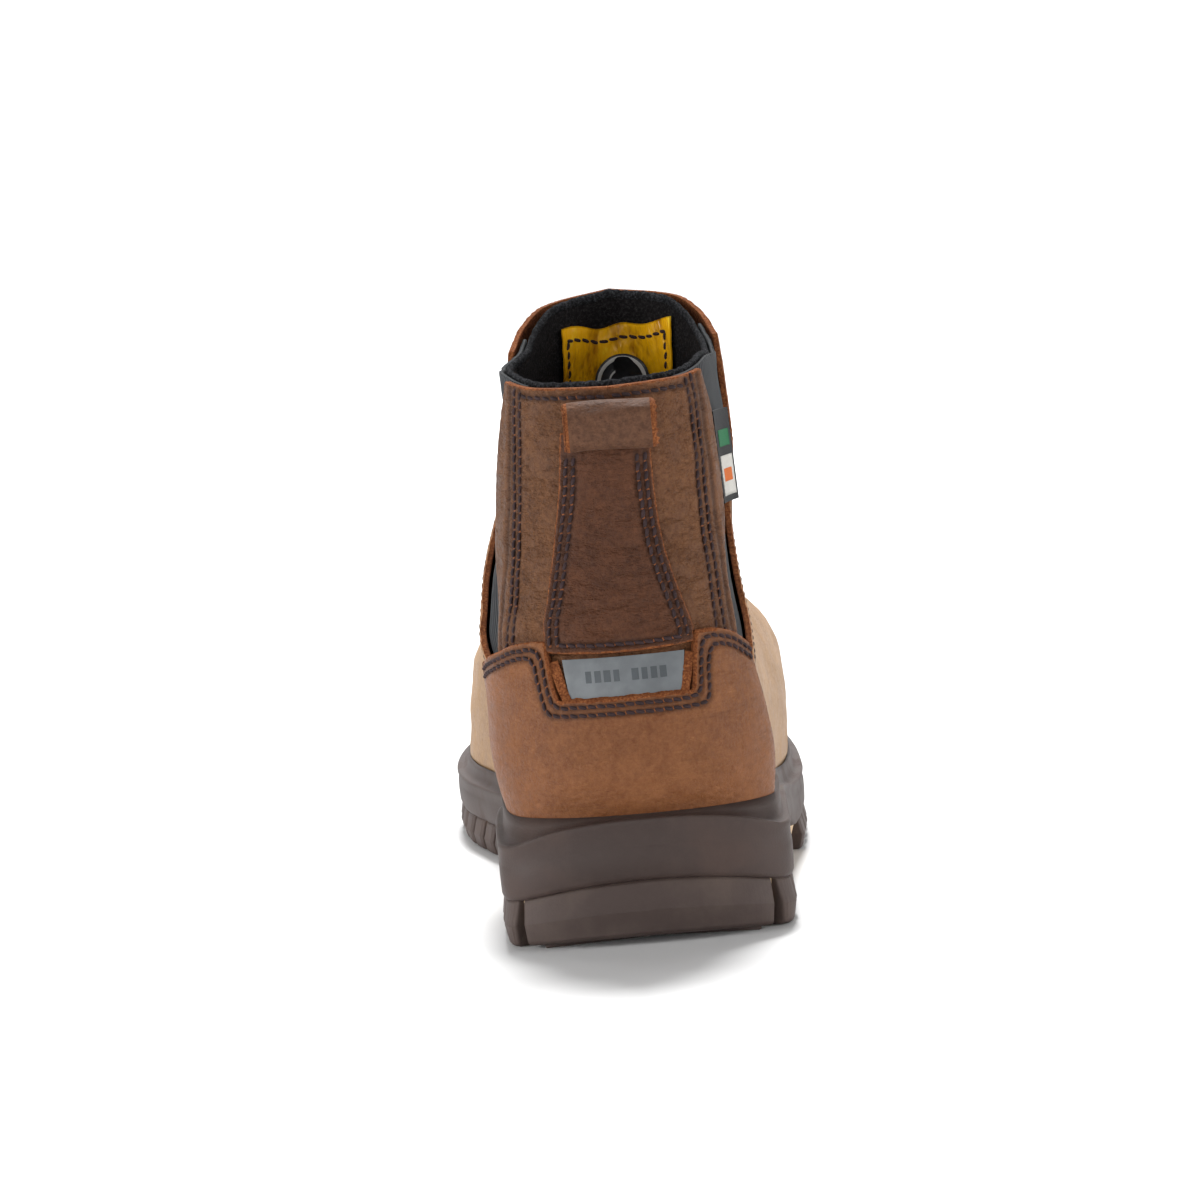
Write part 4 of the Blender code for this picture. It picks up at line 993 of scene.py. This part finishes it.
def collar_binding():
    """Rolled knit binding: a lumpy tube round the collar, just inside the leather's edge."""
    count, around = 420, 12
    a = np.linspace(-1, 1, count + 1)[:-1]
    a[0] = 1.0
    v = v_collar(a) - 0.004
    normal = upper_normal(a, v)
    centre = upper_point(a, v) + normal * (LINING[0] - 0.75)
    centre[:, 2] += 0.35 * np.sin(np.arange(count) * 0.9) * 0.3
    verts = []
    for k in range(around):
        angle = 2 * np.pi * k / around
        pinch = 1 + 0.13 * lumps(centre + 3 * k, 2.4, 81)[:, None]
        verts.append(centre + (normal * math.cos(angle) * 0.85 + np.array([0, 0, math.sin(angle) * 1.25])) * pinch)
    verts = np.stack(verts, axis=1).reshape(-1, 3)
    faces = grid_faces(count, around, closed=True)
    here, ahead, end = np.arange(around), (np.arange(around) + 1) % around, (count - 1) * around
    last = np.stack([end + here, end + ahead, ahead, here], axis=1)
    return add_piece("collar_binding", verts, np.concatenate([faces, last]), [BINDING_LOOK],
                     replaces=["collar_binding"])


# Label, badge, loop and tag -----------------------------------------------------------------------------------
LABEL_DEPTH = -6.2
LABEL_Z, LABEL_X = (112.0, 160.0), (-20.0, 23.0)      # x from the upper's middle, on its outer face
BADGE_AT, BADGE_RADIUS = (3.4, 145.0), (12.0, 7.6)    # wider on the outer face than on the label in front of it
TAG_ROOT = ((31.6, -114.97, 110.98), (30.37, -117.03, 135.99))     # sewn edge, low and high end
TAG_REACH, TAG_HEIGHT, TAG_FLARE = 17.0, 25.0, 4.6
FOOTBED_VOXEL = 0.0017                    # metres
HEEL_PAD = (19.0, 27.0, -98.0)            # half width, half length, middle's y
FLEX_GROOVES = (38.0, 50.0, 62.0, 74.0)


def satin_label():
    """Crinkled satin label on the front lining, with a stitched border down its sides and along its top."""
    rows, columns = 90, 110
    grid_f, grid_t = np.meshgrid(np.linspace(-1, 1, columns), np.linspace(0, 1, rows))
    z = LABEL_Z[0] + (LABEL_Z[1] - LABEL_Z[0]) * grid_t + (0.6 * np.sin(grid_f * 7 + 0.6) + 0.3) * grid_t
    a = front_a(LABEL_X[0] + (LABEL_X[1] - LABEL_X[0]) * (grid_f + 1) / 2, z)
    v = v_at_z(z, a)
    rng_points = np.stack([grid_f * 20, 0 * grid_f, grid_t * 46], axis=-1)
    crinkle = 0.5 * lumps(rng_points * np.array([1, 1, 0.35]), 9, 51) + 0.22 * lumps(rng_points, 4.5, 52)
    depth = LABEL_DEPTH - 0.75 + 0.6 * np.clip(crinkle, -1, 1)
    base, normals = upper_point(a, v), upper_normal(a, v)
    skins = [base + normals * (depth + half)[..., None] for half in (0.14, -0.14)]
    made = add_piece("inner_label", *closed_sheet(skins, rows, columns), [SATIN_WITH_PAINTED_SHEEN], replaces=["inner_label"])
    sheet_values(made, grid_f * 20, grid_t * 46)
    for i_range, j_range in (((82, 82), (4, columns - 5)), ((6, 82), (5, 5)), ((6, 82), (columns - 6, columns - 6))):
        i = np.linspace(*i_range, 60).round().astype(int)
        j = np.linspace(*j_range, 60).round().astype(int)
        stitch("label_border", (skins[1][i, j], normals[i, j] * -1.0), pitch=2.9)
    return made


def front_a(x, z):
    """Ring parameter near the front where the surface at height z is x from the upper's middle."""
    side = np.where(x >= 0, 1.0, -1.0)
    low, high = np.full(x.shape, 0.6), np.ones(x.shape)
    for _ in range(18):
        middle = (low + high) / 2
        v = v_at_z(z, side * middle)
        point = upper_point(side * middle, v)
        wide = np.abs(point[..., 0] - middle_x(v) - front_lean(point[..., 1], point[..., 2])) > np.abs(x)
        low, high = np.where(wide, middle, low), np.where(wide, high, middle)
    return side * (low + high) / 2


def badge():
    """Round badge on the label: a plain disc with a raised ring and a smaller ring inside it."""
    steps = 48
    profile = ((0.02, 0.25), (0.40, 0.25), (0.43, 0.45), (0.50, 0.45), (0.53, 0.25), (0.80, 0.25), (0.83, 0.40),
               (0.94, 0.40), (1.0, 0.25), (1.0, -0.1))
    angle = np.linspace(0, 2 * np.pi, steps, endpoint=False)
    verts = []
    for scale, rise in profile:
        x = BADGE_AT[0] + scale * BADGE_RADIUS[0] * np.cos(angle)
        z = BADGE_AT[1] + scale * BADGE_RADIUS[1] * np.sin(angle)
        a = front_a(x, z)
        v = v_at_z(z, a)
        verts.append(upper_point(a, v) + upper_normal(a, v) * (LABEL_DEPTH - 1.25 - rise))
    faces = list(grid_faces(len(profile), steps, closed=True))
    which = [1 if 0.43 <= profile[i][0] < 0.5 or 0.80 <= profile[i][0] < 0.94 else 0
             for i in range(len(profile) - 1) for _ in range(steps)]
    faces += [tuple(range(steps)), tuple((len(profile) - 1) * steps + i for i in range(steps))]
    return add_piece("label_badge", np.concatenate(verts), faces, [BADGE_DARK, BADGE_RING], replaces=["label_badge"],
                     material_of=which + [0, 0])


def pull_loop():
    """Folded leather strap, sewn flat at its foot and standing off in a soft D, with raw frayed side edges."""
    low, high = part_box("pull_loop")
    low, high = [c / MM for c in low], [c / MM for c in high]
    middle = ((low[0] + high[0]) / 2, high[1] - (high[1] - low[1]) / 2, (low[2] + high[2]) / 2)
    half_d, half_h = (high[1] - low[1]) / 2, (high[2] - low[2]) / 2
    around, across, wall = 72, 34, 1.6
    angle = np.linspace(0, 2 * np.pi, around, endpoint=False)
    f = np.concatenate([[0, 0.014, 0.042], np.linspace(0.07, 0.93, across), [0.958, 0.986, 1]])
    grid_angle, grid_f = np.meshgrid(angle, f, indexing="ij")
    x = low[0] + (high[0] - low[0]) * grid_f
    section = np.abs(np.cos(grid_angle)), np.abs(np.sin(grid_angle))
    skins = []
    for inset, sign in ((0.0, 1), (wall, -1)):
        c = np.sign(np.cos(grid_angle)) * section[0] ** 0.85
        s = np.sign(np.sin(grid_angle)) * section[1] ** 0.80
        wave = 0.22 * lumps(np.stack([x, 20 * c, 20 * s], axis=-1), 9, 61) * np.clip(-c, 0, 1)
        y = middle[1] + (half_d - inset + wave) * c
        z = middle[2] + (half_h - inset) * s + 0.25 * np.sin(grid_f * 5)
        round_off = 0.35 * (np.clip(1 - np.minimum(grid_f, 1 - grid_f) / 0.035, 0, 1) ** 2) * sign
        skins.append(np.stack([x, y - c * round_off, z - s * round_off], axis=-1))
    count = around * len(f)
    index = np.arange(count).reshape(around, len(f))
    shells = []
    for start in (0, count):
        one, two = index, np.roll(index, -1, axis=0)
        q = np.stack([one[:, :-1], two[:, :-1], two[:, 1:], one[:, 1:]], axis=-1).reshape(-1, 4) + start
        shells.append(q if start == 0 else q[:, ::-1])
    rims, jitter = [], []
    for k, column in enumerate((0, len(f) - 1)):
        ring = index[:, column]
        middle_ring = (skins[0].reshape(-1, 3)[ring] + skins[1].reshape(-1, 3)[ring]) / 2
        push = np.stack([(1 if k else -1) * (0.1 + 0.6 * np.abs(lumps(middle_ring, 1.1, 71 + k))),
                         0.25 * lumps(middle_ring, 0.9, 73 + k), 0.3 * lumps(middle_ring, 1.3, 75 + k)], axis=-1)
        jitter.append(middle_ring + push)
        mid = 2 * count + k * around + np.arange(around)
        rims.append(np.stack([ring, np.roll(ring, -1), np.roll(mid, -1), mid], axis=1))
        rims.append(np.stack([mid, np.roll(mid, -1), count + np.roll(ring, -1), count + ring], axis=1))
    verts = np.concatenate([skin.reshape(-1, 3) for skin in skins] + jitter)
    faces = np.concatenate(shells + rims)
    frayed = [0 if 2 <= j < len(f) - 3 else 1 for j in range(len(f) - 1)]
    which = np.concatenate([np.tile(frayed, around), np.full(len(shells[1]), 2), np.ones(4 * around)])
    edge = np.minimum(grid_f, 1 - grid_f).ravel() * (high[0] - low[0])
    pad = np.zeros(len(verts) - count)
    add_piece("pull_loop", verts, faces, [LOOP_BROWN, RAW, SUEDE], body="pull_loop", replaces=["pull_loop"],
              material_of=which, attributes={"edge": np.concatenate([edge, pad]),
                                             "seam": np.full(len(verts), 20.0)})


def tag_at(f, t, side):
    """Point of the side tag: f 0..1 out from the sewn edge, t 0..1 up, side the offset across it."""
    root = np.array(TAG_ROOT[0])[None, :] * (1 - t)[:, None] + np.array(TAG_ROOT[1])[None, :] * t[:, None]
    bend = TAG_FLARE * (0.6 * f + 0.4 * f * f)
    return root + np.stack([bend + side, TAG_REACH * f, 0 * f], axis=-1)


def tag_block(name, f_range, t_range, offset, look, steps=(14, 12), thick=0.14, replaces=()):
    """A patch of the tag as a closed thin piece."""
    columns, rows = steps
    grid_f, grid_t = np.meshgrid(np.linspace(0, 1, columns), np.linspace(0, 1, rows))
    f = f_range[0] + (f_range[1] - f_range[0]) * grid_f
    t = t_range[0] + (t_range[1] - t_range[0]) * grid_t
    skins = [tag_at(f.ravel(), t.ravel(), offset + half) for half in (-thick / 2, thick / 2)]
    made = add_piece(name, *closed_sheet(skins, rows, columns), [look], body="side_tag", replaces=replaces)
    sheet_values(made, f * TAG_REACH, t * TAG_HEIGHT)
    return made


def side_tag():
    """Woven tab with a plain green bar above a white block that carries an orange bar."""
    tab = tag_block("side_tag", (0, 1), (0, 1), 0.0, TAG_BLACK, (30, 40), 0.9, replaces=["side_tag"])
    marks = []
    for side in (-0.53, 0.53):
        word = "inner" if side < 0 else "outer"
        marks.append(tag_block("tag_green_bar_" + word, (0.22, 0.86), (0.60, 0.78), side, TAG_GREEN))
        marks.append(tag_block("tag_white_block_" + word, (0.16, 0.90), (0.07, 0.50), side, TAG_WHITE))
        marks.append(tag_block("tag_orange_bar_" + word, (0.28, 0.78), (0.22, 0.36), side * 1.22, TAG_ORANGE,
                               thick=0.10))
    return tab, marks


def footbed():
    """Removable foam footbed with a cloth top: soft edge, pressed heel pad and flex grooves under the ball."""
    solid = bpy.data.objects["footbed"]
    rough = bpy.data.objects.new("footbed_rough", solid.data.copy())
    bpy.context.scene.collection.objects.link(rough)
    rough.matrix_world = solid.matrix_world
    remesh = rough.modifiers.new("Even mesh", "REMESH")
    remesh.mode, remesh.voxel_size = "VOXEL", FOOTBED_VOXEL
    soften = rough.modifiers.new("Soft edge", "SMOOTH")
    soften.factor, soften.iterations = 0.5, 7
    bpy.context.view_layer.update()
    mesh = bpy.data.meshes.new_from_object(rough.evaluated_get(bpy.context.evaluated_depsgraph_get()))
    place = np.array(rough.matrix_world)
    verts = np.array([vert.co[:] for vert in mesh.vertices]) @ place[:3, :3].T + place[:3, 3]
    ups = np.array([vert.normal[:] for vert in mesh.vertices]) @ place[:3, :3].T
    tilts = np.array([face.normal[:] for face in mesh.polygons]) @ place[:3, :3].T
    faces = [tuple(face.vertices) for face in mesh.polygons]
    bpy.data.objects.remove(rough)
    verts = verts / MM
    x, y = verts[:, 0] - AXIS_X, verts[:, 1]
    heel = np.abs(np.hypot(x / HEEL_PAD[0], (y - HEEL_PAD[2]) / HEEL_PAD[1]) - 1) * HEEL_PAD[0]
    lines = np.exp(-((heel / 1.1) ** 2))
    for start in FLEX_GROOVES:
        lines = np.maximum(lines, np.exp(-(((y - start - 0.004 * x * x) / 1.0) ** 2)))
    on_top = np.clip((ups[:, 2] - 0.6) / 0.3, 0, 1)
    crown = 0.35 * lumps(verts * np.array([1, 1, 0]), 40, 91)
    verts[:, 2] -= on_top * (0.6 * lines + 0.35 - crown * 0.5)
    return add_piece("footbed_pad", verts, faces, [FOOTBED_LOOK, FOAM_LOOK], body="footbed", replaces=["footbed"],
                     material_of=(tilts[:, 2] < 0.5).astype(int))


# Sole ---------------------------------------------------------------------------------------------------------
HEEL_BREAST_Y, FORE_BACK_Y = -72.0, -26.0
HEEL_BLOCK_REACH = {-1: 37.0, 1: 34.0}        # how far the rear block runs round to each side
HEEL_BEVEL = 2.6
HEEL_LUGS, FOREFOOT_LUGS = 6, 17              # on each side
LUG_GAPS = {"heel": 2.2, "forefoot": 2.1}
HEEL_TREAD_TOP, FORE_TREAD_TOP = 11.0, 6.0
TOE_SPRING, TOE_SPRING_FROM_Y = 10.0, 50.0


def spring_z(y):
    s = np.clip((y - TOE_SPRING_FROM_Y) / (TOE_Y - TOE_SPRING_FROM_Y), 0, 1)
    return TOE_SPRING * s * s


def tread_top(y):
    blend = smoothstep(HEEL_BREAST_Y + 12, FORE_BACK_Y - 12, y)
    return HEEL_TREAD_TOP * (1 - blend) + (FORE_TREAD_TOP + spring_z(y)) * blend


def sole_outline(a, inset=0.0):
    """(x, y) of the outsole's outline at ring parameter a, -1..1 from the back."""
    rear, front = REAR_Y + inset, TOE_Y - inset
    y = rear + (front - rear) * (1 - np.cos(np.pi * np.abs(a))) / 2
    factor = rounding(front - y, 78.0) * rounding(y - rear, 20.0, 2.5)
    inner, outer = curve(SOLE_WIDTHS, y, 1) - inset, curve(SOLE_WIDTHS, y, 2) - inset
    return AXIS_X + np.where(a < 0, -inner, outer) * factor, y


def frame_bottom(x, y):
    """Lower edge of the dark midsole: arched across the back, straight along the sides."""
    along = tread_top(y) + 3.8
    across = 17.0 - 4.6 * np.clip(np.abs(x - AXIS_X) / 38, 0, 1) ** 2
    side = 12.4 + (along - 12.4) * smoothstep(-128, -70, y)
    return across + (side - across) * smoothstep(-147, -126, y)


def frame_top_z(a, y):
    """Upper edge of the midsole, raised into a low wing on each side of the heel."""
    wing = np.exp(-(((y + 96) / 26) ** 2)) * smoothstep(-138, -118, y)
    return curve(SOLE_LINE, y) + 0.7 + wing * np.where(a < 0, 6.0, 3.4)


def ring_faces(levels, size):
    faces = list(grid_faces(levels, size, closed=True))
    return faces + [tuple(reversed(range(size))), tuple((levels - 1) * size + i for i in range(size))]


def midsole_frame():
    """Dark midsole wall: rounded lower edge, a ridge that rises to the top edge at the back, and a ledge above."""
    a = np.linspace(-1, 1, 401)[:-1]
    x0, y0 = sole_outline(a)
    low, top = frame_bottom(x0, y0), frame_top_z(a, y0)
    at_back = 1 - smoothstep(-146, -128, y0)
    ridge = low + (top - low) * (0.70 + 0.26 * at_back * (1 - np.clip(np.abs(x0 - AXIS_X) / 36, 0, 1) ** 2.4))
    second = low + (ridge - low) * (0.66 - 0.1 * at_back)
    wave = 0.12 * np.sin(y0 * 0.35)
    profile = ((low + 0.6, 6.0), (low, 1.9), (low + 0.5, 0.7), (low + 1.6, 0.25), (low + (second - low) * 0.6, 0.1),
               (second - 0.5, 0.12), (second - 0.1, 0.26), (second + 0.5, 0.36), (ridge - 1.6, 0.40 + wave),
               (ridge - 0.6, 0.05), (ridge, 0.25), (ridge + 0.2, 0.9), (ridge - 0.1, 1.9))
    step = np.stack([np.gradient(np.concatenate([w[-1:], w, w[:1]]))[1:-1] for w in (x0, y0)], axis=1)
    step /= np.linalg.norm(step, axis=1, keepdims=True)
    levels = []
    for z, inset in profile:
        levels.append(np.stack([x0 - step[:, 1] * inset, y0 + step[:, 0] * inset, z], axis=1))
    out = 2.75 - 2.1 * smoothstep(-118, -98, y0)
    v = v_at_z(top, a)
    leather = upper_point(a, v) + upper_normal(a, v) * out[:, None]
    leather[:, 2] = top
    shelf = levels[-1]
    for share, climb in ((0.55, 0.16), (0.85, 0.62), (1.0, 1.0)):
        ring = shelf * (1 - share) + leather * share
        ring[:, 2] = shelf[:, 2] + (top - shelf[:, 2]) * climb
        levels.append(ring)
    inside = leather.copy()
    inside[:, :2] = upper_point(a, v)[:, :2] - upper_normal(a, v)[:, :2] * 1.2
    inside[:, 2] = curve(SOLE_LINE, y0) - 0.8
    levels.append(inside)
    levels = [np.where(np.isfinite(ring), ring, 0.0) for ring in levels]
    add_piece("midsole_frame", np.concatenate(levels), ring_faces(len(levels), len(a)), [MIDSOLE_LOOK],
              replaces=["midsole_frame"])


class Outline:
    """The outsole's outline by distance q from the middle of the back, + on the outer side."""

    def __init__(self):
        a = np.linspace(-1, 1, 2401)
        x, y = sole_outline(a)
        run = np.concatenate([[0], np.cumsum(np.hypot(np.diff(x), np.diff(y)))])
        self.q, self.x, self.y = run - np.interp(0, a, run), x, y

    def at(self, q, inset):
        e = 0.8
        x, y = np.interp(q, self.q, self.x), np.interp(q, self.q, self.y)
        dx = np.interp(q + e, self.q, self.x) - np.interp(q - e, self.q, self.x)
        dy = np.interp(q + e, self.q, self.y) - np.interp(q - e, self.q, self.y)
        size = np.hypot(dx, dy)
        return x - dy / size * inset, y + dx / size * inset

    def q_at(self, y, side):
        m = self.q * side >= 0
        order = np.argsort(self.y[m])
        return float(np.interp(y, self.y[m][order], self.q[m][order]))


OUTLINE = Outline()


def lug(verts, faces, q_from, q_to, bottom, top, deep=6.0, lean=0.0, out=0.0, steps=7, bulge=0.5):
    """One closed rubber lug along the outline, from q_from to q_to. bottom and top are functions of (x, y)."""
    q = np.linspace(q_from, q_to, steps)
    first = len(verts)
    shape = ((0.0, 2.2), (0.06, 1.3), (0.45, 0.75 - bulge), (0.94, 1.2), (1.0, 1.9), (1.0, deep), (0.0, deep))
    for k in range(steps):
        round_end = 0.6 * (2 * abs(k / (steps - 1) - 0.5)) ** 6
        for share, inset in shape:
            at = q[k] + lean * (share - 0.5)
            x, y = OUTLINE.at(at, inset - out + round_end * (inset < 3))
            z0, z1 = bottom(x, y), top(x, y)
            verts.append((x, y, z0 + (z1 - z0) * share))
    size = len(shape)
    faces += [tuple(first + i for i in face) for face in grid_faces(steps, size, closed=True)]
    faces.append(tuple(first + i for i in reversed(range(size))))
    faces.append(tuple(first + (steps - 1) * size + i for i in range(size)))


def prism(verts, faces, corners, z0, z1):
    """A closed upright block from (x, y) corners, between two heights (functions of x, y)."""
    first, n = len(verts), len(corners)
    for level in (z0, z1):
        verts += [(x, y, level(x, y)) for x, y in corners]
    faces += [(first + i, first + (i + 1) % n, first + n + (i + 1) % n, first + n + i) for i in range(n)]
    faces.append(tuple(first + i for i in reversed(range(n))))
    faces.append(tuple(first + n + i for i in range(n)))


def chamfer(made, width=0.45):
    bevel = made.modifiers.new("Rounded edges", "BEVEL")
    bevel.width, bevel.segments = width * MM, 2
    bevel.limit_method, bevel.angle_limit = "ANGLE", 0.6
    bevel.harden_normals = False


def bars(verts, faces, y_from, y_to, pitch, width, inset, z0, z1, chevron):
    """Tread bars across the underside, bent forward in the middle."""
    for y in np.arange(y_from, y_to, pitch):
        for side in (-1, 1):
            corners = []
            half = float((curve(SOLE_WIDTHS, np.array([y]), 2 if side > 0 else 1))[0]) - inset
            if y > 60:
                half *= float(rounding(np.array([TOE_Y - y]), 78.0)[0])
            for x, dy in ((1.2, 0), (half, -chevron), (half, width - chevron), (1.2, width)):
                corners.append((AXIS_X + side * x, y + dy))
            prism(verts, faces, corners if side > 0 else corners[::-1], z0, z1)


def level(z):
    return lambda x, y: z


def worn_heel(_, y):
    """Underside of the heel block: bevelled up at the very back."""
    return HEEL_BEVEL * np.clip((-134 - y) / 14, 0, 1) ** 1.3


def heel_tread():
    """Rubber under the heel: one block round the back, lugs along the sides and bars underneath."""
    verts, faces = [], []
    reach = HEEL_BLOCK_REACH
    top = lambda x, y: frame_bottom(x, y) + 0.35
    lug(verts, faces, -reach[-1], reach[1], worn_heel, top, deep=9, steps=47, bulge=0.25)
    for side in (-1, 1):
        start, stop = reach[side] + 2.6, abs(OUTLINE.q_at(HEEL_BREAST_Y, side))
        length = (stop - start) / HEEL_LUGS
        for k in range(HEEL_LUGS):
            q0 = start + k * length
            ends = sorted((side * q0, side * (q0 + length - LUG_GAPS["heel"])))
            lug(verts, faces, *ends, worn_heel, top, deep=8.5, lean=-side * 2.4, out=0.25)
    corners = []
    for q in np.linspace(OUTLINE.q_at(HEEL_BREAST_Y, -1) + 3, OUTLINE.q_at(HEEL_BREAST_Y, 1) - 3, 60):
        x, y = OUTLINE.at(q, 7.5)
        corners.append((float(x), float(y)))
    prism(verts, faces, corners, level(2.6), level(10.8))
    bars(verts, faces, -136, -80, 11.5, 5.0, 10.5, level(0.0), level(4.0), 5.0)
    made = add_piece("heel_tread", np.array(verts), faces, [TREAD_LOOK], replaces=["heel_tread"], smooth=False)
    chamfer(made)


def forefoot_tread():
    """Rubber under the front: lugs all round and bars underneath."""
    verts, faces = [], []
    bottom = lambda x, y: spring_z(y)
    top = lambda x, y: frame_bottom(x, y) + 0.3
    q_in, q_out = OUTLINE.q_at(FORE_BACK_Y, -1), OUTLINE.q_at(FORE_BACK_Y, 1)
    ends = OUTLINE.q[0], OUTLINE.q[-1]
    for side, start, stop in ((-1, -q_in, -ends[0]), (1, q_out, ends[1])):
        length = (stop - start) / FOREFOOT_LUGS
        for k in range(FOREFOOT_LUGS):
            q0 = start + k * length
            pair = sorted((side * q0, side * (q0 + length - LUG_GAPS["forefoot"])))
            lug(verts, faces, *pair, bottom, top, deep=8.0, lean=-side * 3.0, out=0.3)
    corners = []
    for a in np.concatenate([np.linspace(-1, -0.42, 50), np.linspace(0.42, 1, 50)[:-1]]):
        x, y = sole_outline(np.array([a]), 7.0)
        if y[0] > FORE_BACK_Y:
            corners.append((float(x[0]), float(y[0])))
    prism(verts, faces, corners, lambda x, y: spring_z(y) + 2.6, lambda x, y: spring_z(y) + 5.8)
    bars(verts, faces, -14, 118, 12.5, 5.2, 10.5, bottom, lambda x, y: spring_z(y) + 3.0, 6.0)
    made = add_piece("forefoot_tread", np.array(verts), faces, [TREAD_LOOK], replaces=["forefoot_tread"],
                     smooth=False)
    chamfer(made)


def midsole_core():
    """Cream foam under the dark midsole, seen between the lugs; the waist between the treads is bare foam."""
    a = np.linspace(-1, 1, 401)[:-1]
    x0, y0 = sole_outline(a, 2.6)
    low = np.maximum(tread_top(y0) - np.where(y0 < HEEL_BREAST_Y, 7.5, 3.0), 2.8)
    low = low + (tread_top(y0) + 0.4 - low) * smoothstep(HEEL_BREAST_Y, HEEL_BREAST_Y + 8, y0) * (
        1 - smoothstep(FORE_BACK_Y - 8, FORE_BACK_Y, y0))
    high = frame_bottom(x0, y0) + 0.9
    rings = []
    for z, inset in ((low, 5.0), (low + 0.7, 4.2), (high - 1.4, 2.4), (high, 2.2)):
        x, y = sole_outline(a, inset)
        rings.append(np.stack([x, y, z], axis=1))
    add_piece("midsole_core", np.concatenate(rings), ring_faces(4, len(a)), [CREAM], replaces=["midsole_core"])


# Inner pieces keep their solids and take a procedural look ------------------------------------------------------
def dress(node, look):
    """Gives a CAD node that stays a procedural material."""
    made = bpy.data.objects[node]
    made.data.materials.clear()
    made.data.materials.append(look)


# Camera, floor and light --------------------------------------------------------------------------------------
CAMERA_AT = (-0.0035, -1.049, 0.18)
CAMERA_PITCH, CAMERA_ROLL, LENS = 5.62, 5.0, 105.0


def camera():
    data = bpy.data.cameras.new("camera")
    data.lens, data.sensor_width = LENS, 36
    made = bpy.data.objects.new("camera", data)
    pitch, roll = math.radians(CAMERA_PITCH), math.radians(CAMERA_ROLL)
    forward = np.array([0, math.cos(pitch), -math.sin(pitch)])
    right = np.array([1.0, 0, 0])
    up = np.cross(right, forward)
    right, up = right * math.cos(roll) - up * math.sin(roll), right * math.sin(roll) + up * math.cos(roll)
    columns = np.stack([right, up, -forward], axis=1)
    made.matrix_world = Matrix([[*columns[i], CAMERA_AT[i]] for i in range(3)] + [[0, 0, 0, 1]])
    bpy.context.scene.collection.objects.link(made)
    bpy.context.scene.camera = made


def floor():
    """Pale floor that curves up into a low wall all round the boot."""
    radius, bend, around = 2.8, 1.5, 96
    line = [(0.01, 0.0), (radius * 0.5, 0.0), (radius, 0.0)]
    line += [(radius + bend * math.sin(t), bend * (1 - math.cos(t))) for t in np.linspace(0.08, math.pi / 2, 20)]
    line.append((radius + bend, 2.6))
    angle = np.linspace(0, 2 * np.pi, around, endpoint=False)
    verts = [(r * math.cos(t), r * math.sin(t), z) for r, z in line for t in angle]
    mesh = bpy.data.meshes.new("floor")
    faces = [tuple(int(i) for i in face) for face in grid_faces(len(line), around, closed=True)]
    mesh.from_pydata(verts, [], faces + [tuple(range(around))])
    mesh.polygons.foreach_set("use_smooth", np.ones(len(mesh.polygons), dtype=bool))
    look = Look("pale_floor", 0.9, 0.1)
    mesh.materials.append(look.done((0.62, 0.62, 0.62)))
    made = bpy.data.objects.new("floor", mesh)
    bpy.context.scene.collection.objects.link(made)


def area_light(name, at, size, power, target=(0, -0.03, 0.09), colour=(1, 1, 1)):
    data = bpy.data.lights.new(name, "AREA")
    data.shape, data.size, data.size_y = "RECTANGLE", *size
    data.energy, data.color = power, colour
    made = bpy.data.objects.new(name, data)
    aim = np.array(target) - np.array(at)
    aim /= np.linalg.norm(aim)
    side = np.cross(aim, [0, 0, 1.0])
    side /= np.linalg.norm(side)
    columns = np.stack([side, np.cross(side, aim), -aim], axis=1)
    made.matrix_world = Matrix([[*columns[i], at[i]] for i in range(3)] + [[0, 0, 0, 1]])
    bpy.context.scene.collection.objects.link(made)


def studio():
    world = bpy.data.worlds.new("studio")
    world.use_nodes = True
    world.node_tree.nodes["Background"].inputs[0].default_value = (1, 1, 1, 1)
    world.node_tree.nodes["Background"].inputs[1].default_value = 0.07
    bpy.context.scene.world = world
    area_light("key", (-0.55, -1.50, 0.30), (0.9, 0.35), 3.7)
    sun = bpy.data.lights.new("top", "SUN")
    sun.energy, sun.angle = 4.7, math.radians(10)
    top = bpy.data.objects.new("top", sun)
    top.rotation_euler = (math.radians(-24), math.radians(2), 0)
    bpy.context.scene.collection.objects.link(top)
    area_light("right", (1.15, -0.40, 0.32), (0.35, 0.9), 8.4)
    area_light("left", (-1.15, -0.45, 0.36), (0.35, 0.9), 10.6)
    area_light("backdrop", (0.0, 1.6, 2.6), (3.0, 1.2), 160.0, (0, 3.6, 0.4))
    bpy.context.scene.view_settings.view_transform = "Standard"


# Everything ---------------------------------------------------------------------------------------------------
quarter(-1)
quarter(1)
vamp()
back_stay()
heel_counter()
cut_out_edge()
reflective_patch()
GORES = [gore(-1), gore(1)]
LININGS = linings()
BINDING = collar_binding()
LABEL = satin_label()
BADGE = badge()
pull_loop()
FOOTBED = footbed()
TAG, TAG_MARKS = side_tag()
midsole_frame()
midsole_core()
heel_tread()
forefoot_tread()
THREADS = {group: thread_piece(group, [THREAD_LOOK, HOLE_LOOK]) for group in sorted(STITCHES)}
for node, look in (("steel_toe_cap", STEEL_LOOK), ("shank", STEEL_LOOK), ("toe_cap_bead", BEAD_LOOK),
                   ("heel_stiffener", BOARD_LOOK), ("insole_board", BOARD_LOOK)):
    dress(node, look)

camera()
floor()
studio()
